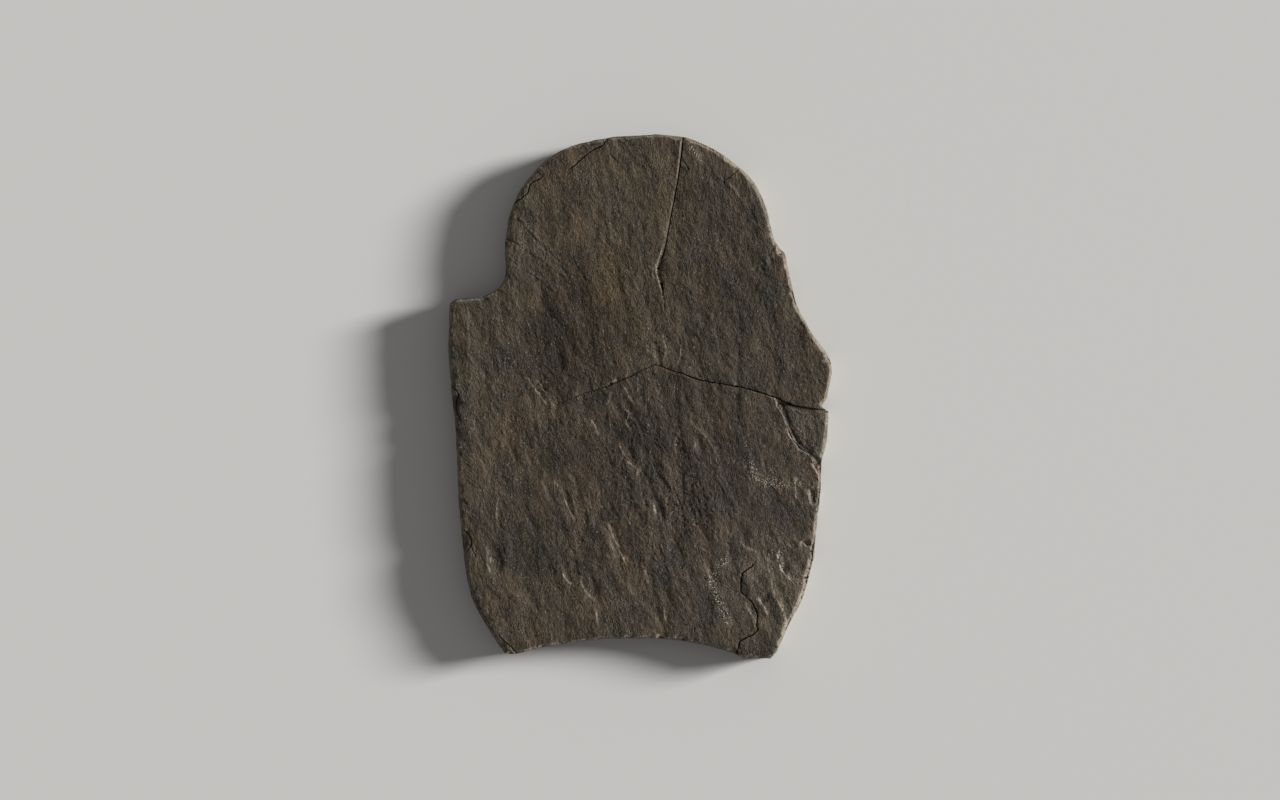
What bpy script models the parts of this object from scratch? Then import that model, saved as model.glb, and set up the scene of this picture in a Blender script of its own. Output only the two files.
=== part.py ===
"""A shouldered stone stele, lying on its back with its face up.

The stele is one thick slab of schist with a round head, a stepped shoulder on its left, a broken shoulder
on its right and a hollow foot. A piece that broke off its right edge is set back in its place. +Y runs
towards the head, +X to the right of the face and +Z out of the face. The origin is under the middle of
the back.
"""

import math

import bmesh
import bpy
from mathutils import Matrix, Vector, noise

# Driving sizes of the slab, in metres
HEIGHT = 0.720
WIDTH = 0.526
THICKNESS = 0.046
ARRIS = 0.0045
FACE_CELL = 0.0155
CURVE_STEPS = 5
WALL_COURSES = 3
WALL_ROUGHNESS = 0.0016
WALL_GRAIN = 0.032
FACE_ROUGHNESS = 0.0011
FACE_GRAIN = 0.070
GRAIN_STRETCH = 2.6

# Cracks, breaks and scars, in metres
CRACK_WIDTH = 0.0019
CRACK_DEPTH = 0.0085
HAIRLINE_WIDTH = 0.0012
HAIRLINE_DEPTH = 0.0040
CRACK_TIP = 0.22
FIT_GAP = 0.00035
FRAGMENT_DROP = 0.0030
EDGE_SPALL_DEPTH = 0.0022
UPPER_FLAKE_DEPTH = 0.0013
LOWER_FLAKE_DEPTH = 0.0026
SPALL_SLOPE = 0.0022
CUTTER_RISE = 0.012
SCAR_DEPTH = 0.0016
SCAR_BALL_HEIGHT = 0.0038
CHIP_DEPTH = 0.0060
CHIP_BALL_HEIGHT = 0.0045
GRAIN_LEAN = math.radians(15)

# Merge distances, limits that tell a face from a wall, and noise seeds
WELD = 0.00002
SHORTEST_EDGE = 0.0021
SLIVER = 0.0007
UPRIGHT = 0.99
LEVEL = 0.1
WALL_SHARE = 1.4
WALL_SEED = 11.3
FACE_SEED = 4.7

# The edge runs smoothly through a SMOOTH knot and turns at a CORNER.
SMOOTH = "AUTO"
CORNER = "VECTOR"

# Outline of the slab, as percent of its width from the left and of its height from the foot
HEAD_LEFT = [
    (50.5, 100.1, SMOOTH),
    (41.5, 99.6, SMOOTH),
    (29.2, 97.0, SMOOTH),
    (21.4, 92.3, SMOOTH),
    (16.8, 86.3, SMOOTH),
    (15.0, 79.4, SMOOTH),
    (14.7, 73.2, SMOOTH),
]
LEFT_SHOULDER = [
    (12.2, 70.4, SMOOTH),
    (8.4, 69.1, SMOOTH),
    (2.0, 68.8, CORNER),
    (0.4, 67.9, CORNER),
]
LEFT_SIDE = [
    (0.2, 58.0, SMOOTH),
    (1.9, 44.0, SMOOTH),
    (3.3, 26.0, SMOOTH),
    (6.2, 12.0, SMOOTH),
    (11.9, 4.2, SMOOTH),
]
FOOT = [
    (14.8, 1.1, CORNER),
    (16.8, 0.9, CORNER),
    (29.5, 2.8, SMOOTH),
    (48.0, 4.1, SMOOTH),
    (65.0, 3.1, SMOOTH),
    (75.5, 0.9, CORNER),
    (77.2, 0.1, CORNER),
    (84.2, 0.1, CORNER),
    (85.9, 1.3, CORNER),
]
RIGHT_SIDE = [
    (89.5, 7.2, SMOOTH),
    (93.5, 13.4, SMOOTH),
    (95.9, 22.8, SMOOTH),
    (97.3, 32.3, SMOOTH),
    (97.6, 37.8, CORNER),
    (99.1, 42.5, SMOOTH),
    (99.3, 47.3, CORNER),
    (97.5, 48.2, CORNER),
    (99.2, 50.0, CORNER),
]
RIGHT_SHOULDER = [
    (100.0, 56.0, SMOOTH),
    (98.6, 58.8, CORNER),
    (94.8, 62.7, SMOOTH),
    (91.6, 66.9, SMOOTH),
    (89.3, 73.0, SMOOTH),
    (87.9, 77.4, CORNER),
    (85.3, 79.8, CORNER),
]
HEAD_RIGHT = [
    (83.1, 86.2, SMOOTH),
    (79.2, 91.6, SMOOTH),
    (73.1, 95.5, SMOOTH),
    (66.8, 98.4, SMOOTH),
    (59.0, 100.0, SMOOTH),
]
OUTLINE = HEAD_LEFT + LEFT_SHOULDER + LEFT_SIDE + FOOT + RIGHT_SIDE + RIGHT_SHOULDER + HEAD_RIGHT

# The break round the refitted fragment, from its top right corner round its left to its lowest point
BREAK = [
    (99.6, 47.25),
    (92.6, 47.95),
    (87.9, 48.5),
    (87.4, 47.3),
    (88.3, 45.7),
    (89.6, 43.4),
    (91.4, 41.3),
    (93.6, 39.6),
    (95.4, 38.6),
    (98.0, 37.75),
]
PAST_THE_EDGE = 106.0

# Broad swells and hollows of the face: place, reach across and along in percent, height in metres
FACE_SWELLS = [
    (3.0, 38.0, 9.0, 40.0, 0.0013),
    (21.0, 50.0, 8.0, 22.0, -0.0016),
    (17.0, 30.0, 9.0, 14.0, -0.0009),
    (43.0, 55.0, 14.0, 20.0, 0.0011),
    (40.0, 82.0, 18.0, 14.0, 0.0008),
    (66.0, 30.0, 12.0, 16.0, 0.0009),
    (93.0, 22.0, 9.0, 18.0, -0.0018),
    (90.0, 60.0, 8.0, 12.0, -0.0009),
]

# Shallow scars where flakes have left the face: place in percent, length and width in metres
SCARS = [
    (43.6, 22.4, 0.062, 0.015),
    (31.0, 29.8, 0.066, 0.014),
    (38.4, 12.9, 0.052, 0.014),
    (33.0, 17.2, 0.034, 0.012),
    (47.8, 37.6, 0.046, 0.015),
    (12.3, 19.6, 0.052, 0.018),
    (24.4, 50.2, 0.060, 0.017),
    (55.0, 28.5, 0.040, 0.018),
    (65.5, 40.5, 0.044, 0.013),
    (54.5, 58.2, 0.044, 0.012),
]

# Chips knocked off the edges: place in percent, length along the edge and bite in metres
EDGE_CHIPS = [
    (0.6, 48.6, 0.030, 0.011),
    (1.7, 43.2, 0.018, 0.009),
    (3.2, 22.4, 0.034, 0.014),
    (87.0, 78.4, 0.020, 0.009),
    (99.8, 57.5, 0.026, 0.010),
]

STONE_COLOUR = (0.112, 0.094, 0.076)
FRAGMENT_COLOUR = (0.135, 0.112, 0.088)
STONE_ROUGHNESS = 0.72


def clear_scene():
    """Removes every object that the file opened with."""
    for item in list(bpy.data.objects):
        bpy.data.objects.remove(item, do_unlink=True)


def add_collection(name):
    """Returns a new collection, linked to the scene."""
    group = bpy.data.collections.new(name)
    bpy.context.scene.collection.children.link(group)
    return group


def stone_material(name, colour):
    """Returns a matt stone finish of one colour."""
    material = bpy.data.materials.new(name)
    material.use_nodes = True
    shader = material.node_tree.nodes["Principled BSDF"]
    shader.inputs["Base Color"].default_value = (*colour, 1.0)
    shader.inputs["Roughness"].default_value = STONE_ROUGHNESS
    shader.inputs["Metallic"].default_value = 0.0
    material.diffuse_color = (*colour, 1.0)
    return material


def at(across, up, height=0.0):
    """Returns the place that is so many percent across and up the slab, at a height in metres."""
    return Vector(((across / 100 - 0.5) * WIDTH, (up / 100 - 0.5) * HEIGHT, height))


def mesh_of_curve(curve, matrix, name):
    """Returns the closed mesh of a curve and removes the curve."""
    holder = bpy.data.objects.new(name, curve)
    bpy.context.scene.collection.objects.link(holder)
    bpy.context.view_layer.update()
    depsgraph = bpy.context.evaluated_depsgraph_get()
    mesh = bpy.data.meshes.new_from_object(holder.evaluated_get(depsgraph))
    mesh.name = name
    mesh.transform(matrix)
    bpy.data.objects.remove(holder, do_unlink=True)
    bpy.data.curves.remove(curve)
    work = bmesh.new()
    work.from_mesh(mesh)
    bmesh.ops.remove_doubles(work, verts=work.verts, dist=WELD)
    bmesh.ops.recalc_face_normals(work, faces=work.faces)
    work.to_mesh(mesh)
    work.free()
    return mesh


def outline_mesh(name, knots, low, high, rounding=0.0, grow=0.0):
    """Returns a flat outline raised from one height to another, with its edges rounded."""
    curve = bpy.data.curves.new(name, "CURVE")
    curve.dimensions = "2D"
    curve.fill_mode = "BOTH"
    curve.resolution_u = CURVE_STEPS
    curve.extrude = (high - low) / 2 - rounding
    curve.bevel_depth = rounding
    curve.bevel_resolution = 1
    curve.offset = grow - rounding
    spline = curve.splines.new("BEZIER")
    spline.bezier_points.add(len(knots) - 1)
    for point, (across, up, turn) in zip(spline.bezier_points, knots):
        point.co = at(across, up)
        point.handle_left_type = turn
        point.handle_right_type = turn
    spline.use_cyclic_u = True
    return mesh_of_curve(curve, Matrix.Translation((0, 0, (low + high) / 2)), name)


def polygon_mesh(name, corners, low, high, grow=0.0):
    """Returns a flat outline of straight sides raised from one height to another."""
    curve = bpy.data.curves.new(name, "CURVE")
    curve.dimensions = "2D"
    curve.fill_mode = "BOTH"
    curve.extrude = (high - low) / 2
    curve.offset = grow
    spline = curve.splines.new("POLY")
    spline.points.add(len(corners) - 1)
    for point, (across, up) in zip(spline.points, corners):
        point.co = (*at(across, up), 1.0)
    spline.use_cyclic_u = True
    return mesh_of_curve(curve, Matrix.Translation((0, 0, (low + high) / 2)), name)


def is_face(face):
    """Tells whether a polygon belongs to the slab's flat face."""
    return face.normal.z > UPRIGHT and face.calc_center_median().z > THICKNESS - WELD


def is_wall(face):
    """Tells whether a polygon belongs to the slab's upright sides."""
    return abs(face.normal.z) < LEVEL


def slice_faces(work, chosen, places, axis):
    """Cuts the chosen polygons along planes at the given places on one axis."""
    for place in places:
        faces = [face for face in work.faces if chosen(face)]
        edges = {edge for face in faces for edge in face.edges}
        corners = {vert for face in faces for vert in face.verts}
        bmesh.ops.bisect_plane(
            work,
            geom=[*faces, *edges, *corners],
            plane_co=axis * place,
            plane_no=axis,
            dist=WELD,
        )


def evenly(low, high, spacing):
    """Returns the places that part a length into equal cells of about one spacing."""
    count = max(2, round((high - low) / spacing))
    return [low + (high - low) * step / count for step in range(1, count)]


def part_into_cells(work):
    """Parts the flat face into square cells and the walls into courses, and welds short edges."""
    caps = [face for face in work.faces if is_face(face)]
    bmesh.ops.dissolve_faces(work, faces=caps, use_verts=False)
    slice_faces(work, is_face, evenly(-WIDTH / 2, WIDTH / 2, FACE_CELL), Vector((1, 0, 0)))
    slice_faces(work, is_face, evenly(-HEIGHT / 2, HEIGHT / 2, FACE_CELL), Vector((0, 1, 0)))
    courses = evenly(ARRIS, THICKNESS - ARRIS, (THICKNESS - 2 * ARRIS) / WALL_COURSES)
    slice_faces(work, is_wall, courses, Vector((0, 0, 1)))
    bmesh.ops.remove_doubles(work, verts=work.verts, dist=SHORTEST_EDGE)
    bmesh.ops.dissolve_degenerate(work, dist=SLIVER, edges=work.edges)


def swell(place):
    """Returns how far the face stands above or below its flat level at a place."""
    across = (place.x / WIDTH + 0.5) * 100
    up = (place.y / HEIGHT + 0.5) * 100
    height = 0.0
    for middle, level, reach_across, reach_up, rise in FACE_SWELLS:
        distance = ((across - middle) / reach_across) ** 2 + ((up - level) / reach_up) ** 2
        height += rise * math.exp(-distance)
    along = Vector((math.sin(GRAIN_LEAN), -math.cos(GRAIN_LEAN), 0.0))
    stretched = place - along * place.dot(along) * (1 - 1 / GRAIN_STRETCH)
    stretched.z = FACE_SEED
    return height + FACE_ROUGHNESS * noise.noise(stretched / FACE_GRAIN)


def face_level(across, up):
    """Returns the height of the face at a place in percent."""
    return THICKNESS + swell(at(across, up))


def weather(work):
    """Roughens the broken walls and gives the face its swells and hollows."""
    work.normal_update()
    outward = {vert: Vector((vert.normal.x, vert.normal.y, 0.0)) for vert in work.verts}
    for vert, way in outward.items():
        wall = min(1.0, way.length * WALL_SHARE)
        bump = noise.noise(vert.co / WALL_GRAIN + Vector((0, 0, WALL_SEED)))
        share = max(0.0, (vert.co.z - THICKNESS / 2) / (THICKNESS / 2))
        rise = swell(vert.co) * share
        vert.co += way * WALL_ROUGHNESS * bump * wall
        vert.co.z += rise


def fit_to_size(work):
    """Stretches the mesh by a hair, so that it fills the stele's width and height."""
    for axis, size in enumerate((WIDTH, HEIGHT)):
        low = min(vert.co[axis] for vert in work.verts)
        high = max(vert.co[axis] for vert in work.verts)
        for vert in work.verts:
            vert.co[axis] = (vert.co[axis] - low) * size / (high - low) - size / 2


def stone_blank(name):
    """Returns the mesh of the whole slab before anything is cut from it."""
    mesh = outline_mesh(name, OUTLINE, 0.0, THICKNESS, rounding=ARRIS)
    work = bmesh.new()
    work.from_mesh(mesh)
    part_into_cells(work)
    weather(work)
    fit_to_size(work)
    bmesh.ops.recalc_face_normals(work, faces=work.faces)
    work.to_mesh(mesh)
    work.free()
    return mesh


def add_cutter(name, mesh, group):
    """Returns a cutter that shows only as wire and isn't rendered."""
    cutter = bpy.data.objects.new(name, mesh)
    cutter.display_type = "WIRE"
    cutter.hide_render = True
    group.objects.link(cutter)
    return cutter


def crack_cutter(name, route, width, depth, group):
    """Returns a groove with a sharp bottom along a route of (across, up, share of the width) points."""
    curve = bpy.data.curves.new(name, "CURVE")
    curve.dimensions = "3D"
    curve.bevel_depth = width / 2
    curve.bevel_resolution = 0
    curve.resolution_u = 2
    curve.use_fill_caps = True
    curve.twist_mode = "Z_UP"
    spline = curve.splines.new("POLY")
    spline.points.add(len(route) - 1)
    deepen = 2 * depth / width
    for point, (across, up, share) in zip(spline.points, route):
        point.co = (*at(across, up, face_level(across, up) / deepen), 1.0)
        point.radius = share
    return add_cutter(name, mesh_of_curve(curve, Matrix.Diagonal((1, 1, deepen, 1)), name), group)


def bite_cutter(name, corners, depth, group):
    """Returns a shallow cutter for a flake that has left the right edge, with a sloping left wall."""
    levels = [face_level(across, up) for across, up in corners if across < PAST_THE_EDGE]
    low = sum(levels) / len(levels) - depth
    mesh = polygon_mesh(name, corners, low, THICKNESS + CUTTER_RISE)
    for vertex in mesh.vertices:
        if vertex.co.z < THICKNESS:
            vertex.co.x += SPALL_SLOPE
    return add_cutter(name, mesh, group)


def ball_cutter(name, sides, rings, transform, group):
    """Returns a ball of unit radius that a matrix has turned, stretched and put in its place."""
    work = bmesh.new()
    bmesh.ops.create_uvsphere(work, u_segments=sides, v_segments=rings, radius=1.0)
    work.transform(transform)
    mesh = bpy.data.meshes.new(name)
    work.to_mesh(mesh)
    work.free()
    return add_cutter(name, mesh, group)


def scar_cutter(name, across, up, length, width, group):
    """Returns a flattened ball that bites a shallow scar of a given length and width along the grain."""
    cut = math.sqrt(1 - (1 - SCAR_DEPTH / SCAR_BALL_HEIGHT) ** 2)
    scale = Matrix.Diagonal((width / 2 / cut, length / 2 / cut, SCAR_BALL_HEIGHT, 1))
    middle = face_level(across, up) + SCAR_BALL_HEIGHT - SCAR_DEPTH
    place = Matrix.Translation(at(across, up, middle)) @ Matrix.Rotation(GRAIN_LEAN, 4, "Z")
    return ball_cutter(name, 14, 9, place @ scale, group)


def edge_chip_cutter(name, across, up, length, bite, group):
    """Returns a ball stretched along the edge that knocks a chip off its arris."""
    scale = Matrix.Diagonal((bite, length / 2, CHIP_BALL_HEIGHT, 1))
    middle = face_level(across, up) + CHIP_BALL_HEIGHT - CHIP_DEPTH
    tilt = Matrix.Rotation(GRAIN_LEAN, 4, "X")
    return ball_cutter(name, 11, 8, Matrix.Translation(at(across, up, middle)) @ scale @ tilt, group)


# Routes of the cracks: percent across, percent up, and share of the crack's full width
CROWN_CRACK = [
    (61.4, 101.0, 1.3),
    (61.1, 98.6, 1.0),
    (60.3, 94.0, 0.8),
    (58.6, 86.5, 0.9),
    (57.2, 81.2, 0.9),
    (56.1, 77.4, 1.0),
    (54.7, 74.5, 1.5),
    (55.4, 72.0, 1.2),
    (56.0, 69.2, 0.6),
    (56.3, 66.4, CRACK_TIP),
]
CROSS_CRACK = [
    (87.9, 48.6, 1.1),
    (83.4, 50.3, 1.0),
    (76.0, 51.9, 1.0),
    (66.9, 53.0, 0.9),
    (59.4, 54.7, 0.8),
    (54.0, 55.8, 0.8),
    (48.6, 54.3, 0.7),
    (41.0, 52.0, 0.6),
    (34.0, 50.2, 0.4),
    (27.9, 48.4, CRACK_TIP),
]
HEAD_HAIRLINE = [
    (42.2, 100.8, 1.2),
    (39.6, 97.7, 1.0),
    (35.6, 95.3, 0.8),
    (33.8, 93.9, 0.6),
    (31.6, 93.0, CRACK_TIP),
]
TEMPLE_HAIRLINE = [
    (16.8, 86.6, 1.2),
    (19.5, 88.6, 1.0),
    (22.1, 90.5, 0.8),
    (24.8, 92.2, CRACK_TIP),
]
FOOT_CRACK = [
    (75.0, -1.0, 1.3),
    (75.6, 2.4, 1.2),
    (77.4, 4.1, 1.2),
    (80.4, 5.6, 1.1),
    (80.5, 8.5, 1.1),
    (79.0, 11.3, 1.1),
    (76.4, 13.2, 1.2),
    (76.4, 16.4, 1.0),
    (78.6, 17.4, 0.8),
    (80.4, 18.8, CRACK_TIP),
]
LEFT_HAIRLINE = [
    (13.0, 31.0, CRACK_TIP),
    (12.8, 26.5, 1.2),
    (14.2, 24.8, 1.0),
    (15.6, 24.0, CRACK_TIP),
]

# Flakes that have left the right edge, as the corners of the low ground they leave
BREAK_SPALL = [
    (83.2, 50.15),
    (85.2, 49.4),
    (86.7, 47.1),
    (88.3, 44.1),
    (89.8, 41.6),
    (92.4, 39.8),
    (94.8, 37.8),
    (96.2, 35.7),
    (97.4, 34.3),
    (PAST_THE_EDGE, 34.3),
    (PAST_THE_EDGE, 47.3),
    (99.6, 47.35),
    (92.6, 48.1),
    (87.9, 48.75),
]
EDGE_SPALL = [
    (95.6, 34.0),
    (94.1, 32.4),
    (94.4, 30.3),
    (95.4, 28.9),
    (PAST_THE_EDGE, 28.2),
    (PAST_THE_EDGE, 34.0),
]
UPPER_FLAKE = [
    (85.4, 21.6),
    (82.9, 20.3),
    (83.8, 16.8),
    (85.2, 12.8),
    (87.1, 9.3),
    (88.2, 5.4),
    (PAST_THE_EDGE, 5.4),
    (PAST_THE_EDGE, 23.4),
]
LOWER_FLAKE = [
    (89.6, 22.0),
    (85.7, 20.6),
    (86.6, 17.8),
    (88.4, 15.7),
    (92.6, 14.0),
    (PAST_THE_EDGE, 12.6),
    (PAST_THE_EDGE, 22.8),
]


def cut(target, cutter, operation="DIFFERENCE"):
    """Adds a live cut or crossing by one cutter to an object."""
    step = target.modifiers.new(cutter.name, "BOOLEAN")
    step.operation = operation
    step.solver = "EXACT"
    step.object = cutter


def break_region(name, grow, group):
    """Returns the whole depth of stone inside the break, up to past the right edge."""
    corners = [*BREAK, (PAST_THE_EDGE, BREAK[-1][1]), (PAST_THE_EDGE, BREAK[0][1])]
    mesh = polygon_mesh(name, corners, -CUTTER_RISE, THICKNESS + CUTTER_RISE, grow)
    return add_cutter(name, mesh, group)


def spall_cutters(group):
    """Returns the cutters of the low ground along the right edge."""
    bites = (
        ("break_spall", BREAK_SPALL, FRAGMENT_DROP),
        ("edge_spall", EDGE_SPALL, EDGE_SPALL_DEPTH),
        ("upper_flake", UPPER_FLAKE, UPPER_FLAKE_DEPTH),
        ("lower_flake", LOWER_FLAKE, LOWER_FLAKE_DEPTH),
    )
    return [bite_cutter(name, corners, depth, group) for name, corners, depth in bites]


def crack_cutters(group):
    """Returns the grooves of the cracks that run into the slab and end there."""
    cracks = (
        ("crown_crack", CROWN_CRACK, CRACK_WIDTH, CRACK_DEPTH),
        ("cross_crack", CROSS_CRACK, CRACK_WIDTH, CRACK_DEPTH),
        ("foot_crack", FOOT_CRACK, CRACK_WIDTH, HAIRLINE_DEPTH),
        ("head_hairline", HEAD_HAIRLINE, HAIRLINE_WIDTH, HAIRLINE_DEPTH),
        ("temple_hairline", TEMPLE_HAIRLINE, HAIRLINE_WIDTH, HAIRLINE_DEPTH),
        ("left_hairline", LEFT_HAIRLINE, HAIRLINE_WIDTH, HAIRLINE_DEPTH),
    )
    return [crack_cutter(*crack, group) for crack in cracks]


def scar_cutters(group):
    """Returns the cutters of the scars in the face and of the chips along its edges."""
    cutters = [scar_cutter(f"scar_{number}", *scar, group) for number, scar in enumerate(SCARS, 1)]
    for number, chip in enumerate(EDGE_CHIPS, 1):
        cutters.append(edge_chip_cutter(f"edge_chip_{number}", *chip, group))
    return cutters


def main():
    """Builds the slab and the refitted fragment."""
    clear_scene()
    stele = add_collection("shouldered_stele")
    cutters = add_collection("cutters")

    slab = bpy.data.objects.new("stele_slab", stone_blank("stele_slab"))
    slab.data.materials.append(stone_material("schist", STONE_COLOUR))
    stele.objects.link(slab)

    fragment = bpy.data.objects.new("refitted_fragment", slab.data.copy())
    fragment.data.name = "refitted_fragment"
    fragment.data.materials.clear()
    fragment.data.materials.append(stone_material("broken_schist", FRAGMENT_COLOUR))
    stele.objects.link(fragment)

    spalls = spall_cutters(cutters)
    cut(fragment, break_region("fragment_outline", 0.0, cutters), "INTERSECT")
    cut(fragment, spalls[0])
    cut(slab, break_region("fragment_bed", FIT_GAP, cutters))
    for cutter in [*spalls, *crack_cutters(cutters), *scar_cutters(cutters)]:
        cut(slab, cutter)

    break_route = [(across, up, 1.0) for across, up in BREAK]
    groove = crack_cutter("break_groove", break_route, CRACK_WIDTH, HAIRLINE_DEPTH, cutters)
    cut(slab, groove)
    cut(fragment, groove)


main()
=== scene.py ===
"""Dresses a shouldered stele of split schist, lying on its back on a pale floor.

The stele's two solids are copied, turned into fine closed skins and carved in code: the grain that the
splitting left, the steps and scars of lost flakes, the cracks, and the chipped edges. Each skin is then
thinned, marked where it is worn and stained and where it gets painted highlight and painted shade, and given the
finish of the stone.
"""

from __future__ import annotations

import logging
import math
from dataclasses import dataclass, field
from enum import Enum

import bmesh
import bpy
import numpy as np
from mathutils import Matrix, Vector, kdtree


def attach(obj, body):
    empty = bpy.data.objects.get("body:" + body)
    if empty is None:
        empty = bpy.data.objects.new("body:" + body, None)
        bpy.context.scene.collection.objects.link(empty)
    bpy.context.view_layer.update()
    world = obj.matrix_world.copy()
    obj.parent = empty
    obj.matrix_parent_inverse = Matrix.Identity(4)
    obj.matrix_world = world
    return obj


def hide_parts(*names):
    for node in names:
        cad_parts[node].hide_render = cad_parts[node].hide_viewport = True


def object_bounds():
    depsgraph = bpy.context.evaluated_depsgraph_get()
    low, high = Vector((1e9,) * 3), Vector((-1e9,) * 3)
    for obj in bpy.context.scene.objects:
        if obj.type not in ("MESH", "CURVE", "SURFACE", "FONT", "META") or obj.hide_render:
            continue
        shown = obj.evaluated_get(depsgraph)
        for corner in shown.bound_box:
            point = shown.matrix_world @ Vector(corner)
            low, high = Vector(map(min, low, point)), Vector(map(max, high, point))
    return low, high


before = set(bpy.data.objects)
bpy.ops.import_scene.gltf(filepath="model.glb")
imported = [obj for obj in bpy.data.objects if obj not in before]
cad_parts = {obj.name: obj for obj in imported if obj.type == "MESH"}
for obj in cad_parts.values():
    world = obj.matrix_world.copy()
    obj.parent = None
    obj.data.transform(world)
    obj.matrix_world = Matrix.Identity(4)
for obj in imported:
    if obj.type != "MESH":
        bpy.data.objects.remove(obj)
CAD_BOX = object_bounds()

Array = np.ndarray
Route = tuple[tuple[float, ...], ...]

LOG = logging.getLogger("stele")


class Node(Enum):
    """The stele's two solids."""

    SLAB = "stele_slab"
    FRAGMENT = "refitted_fragment"


class Slot(Enum):
    """The record's material slots."""

    SCHIST = "schist"
    BROKEN = "broken_schist"


class Side(Enum):
    """The side of a step on which the ground lies lower, on a route that runs down the photograph."""

    RIGHT = 1.0
    LEFT = -1.0


@dataclass(frozen=True)
class PhotoBox:
    """The stele's edges in the photograph, and what they stand for on the solids.

    Attributes:
        left: pixel column of its left edge.
        right: pixel column of its right edge.
        top: pixel row of its head.
        foot: pixel row of its lowest corner.
    """

    left: float = 448.0
    right: float = 832.0
    top: float = 134.0
    foot: float = 659.5

    def metre(self) -> float:
        """Returns the size of one pixel in metres."""
        return (CAD_BOX[1][1] - CAD_BOX[0][1]) / (self.foot - self.top)

    def place(self, route: Route) -> Array:
        """Turns pixel places into metres on the face.

        Args:
            route: places whose first two numbers are pixels across and down.

        Returns:
            One row of x and y in metres for each place.
        """
        pixels = np.array([point[:2] for point in route], float)
        low, high = CAD_BOX
        across = (pixels[:, 0] - self.left) / (self.right - self.left)
        up = (self.foot - pixels[:, 1]) / (self.foot - self.top)
        return np.stack([low[0] + across * (high[0] - low[0]), low[1] + up * (high[1] - low[1])], 1)


PHOTO = PhotoBox()


@dataclass(frozen=True)
class Crack:
    """A crack that is cut into the face.

    Attributes:
        route: pixel places along it, each with the share of the full width that it is open there.
        width: full width in metres.
        depth: full depth in metres.
        wander: how far it strays from its route, in metres.
    """

    route: Route
    width: float = 0.0014
    depth: float = 0.0050
    wander: float = 0.0007


@dataclass(frozen=True)
class Step:
    """A step in the face, where the ground beside a route lies lower and rises again further off.

    Attributes:
        route: pixel places along the top of the step.
        drop: how far the ground falls, in metres.
        reach: how far from the step the ground is back at its level, in metres.
        run: how wide the sloping front of the step is, in metres.
        side: the side that lies lower.
        ragged: how much its height changes along it, from 0 to 1.
    """

    route: Route
    drop: float
    reach: float = 0.026
    run: float = 0.0010
    side: Side = Side.RIGHT
    ragged: float = 1.0


@dataclass(frozen=True)
class Hollow:
    """A shallow hollow, or a swell where its depth is negative.

    Attributes:
        middle: pixel place of its middle.
        length: reach along the grain in metres.
        width: reach across the grain in metres.
        depth: depth in metres.
        lean: turn from the upright in degrees, positive towards the upper left.
    """

    middle: tuple[float, float]
    length: float
    width: float
    depth: float
    lean: float = 15.0


@dataclass(frozen=True)
class StainAndPaintedShade:
    """A patch of colour on the face; some are stains in the stone, some painted light on broad slopes that face the
    key light, and some painted shade on slopes that face away from it.

    Attributes:
        middle: pixel place of its middle.
        reach: how far it spreads across and up, in pixels.
        tint: what it multiplies the stone's red, green and blue by.
        lean: turn from the upright in degrees, positive towards the upper left.
    """

    middle: tuple[float, float]
    reach: tuple[float, float]
    tint: tuple[float, float, float]
    lean: float = 0.0


@dataclass(frozen=True)
class PeckedBand:
    """A band of small bright tool marks.

    Attributes:
        route: pixel places along it.
        width: width in metres.
    """

    route: Route
    width: float


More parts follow.
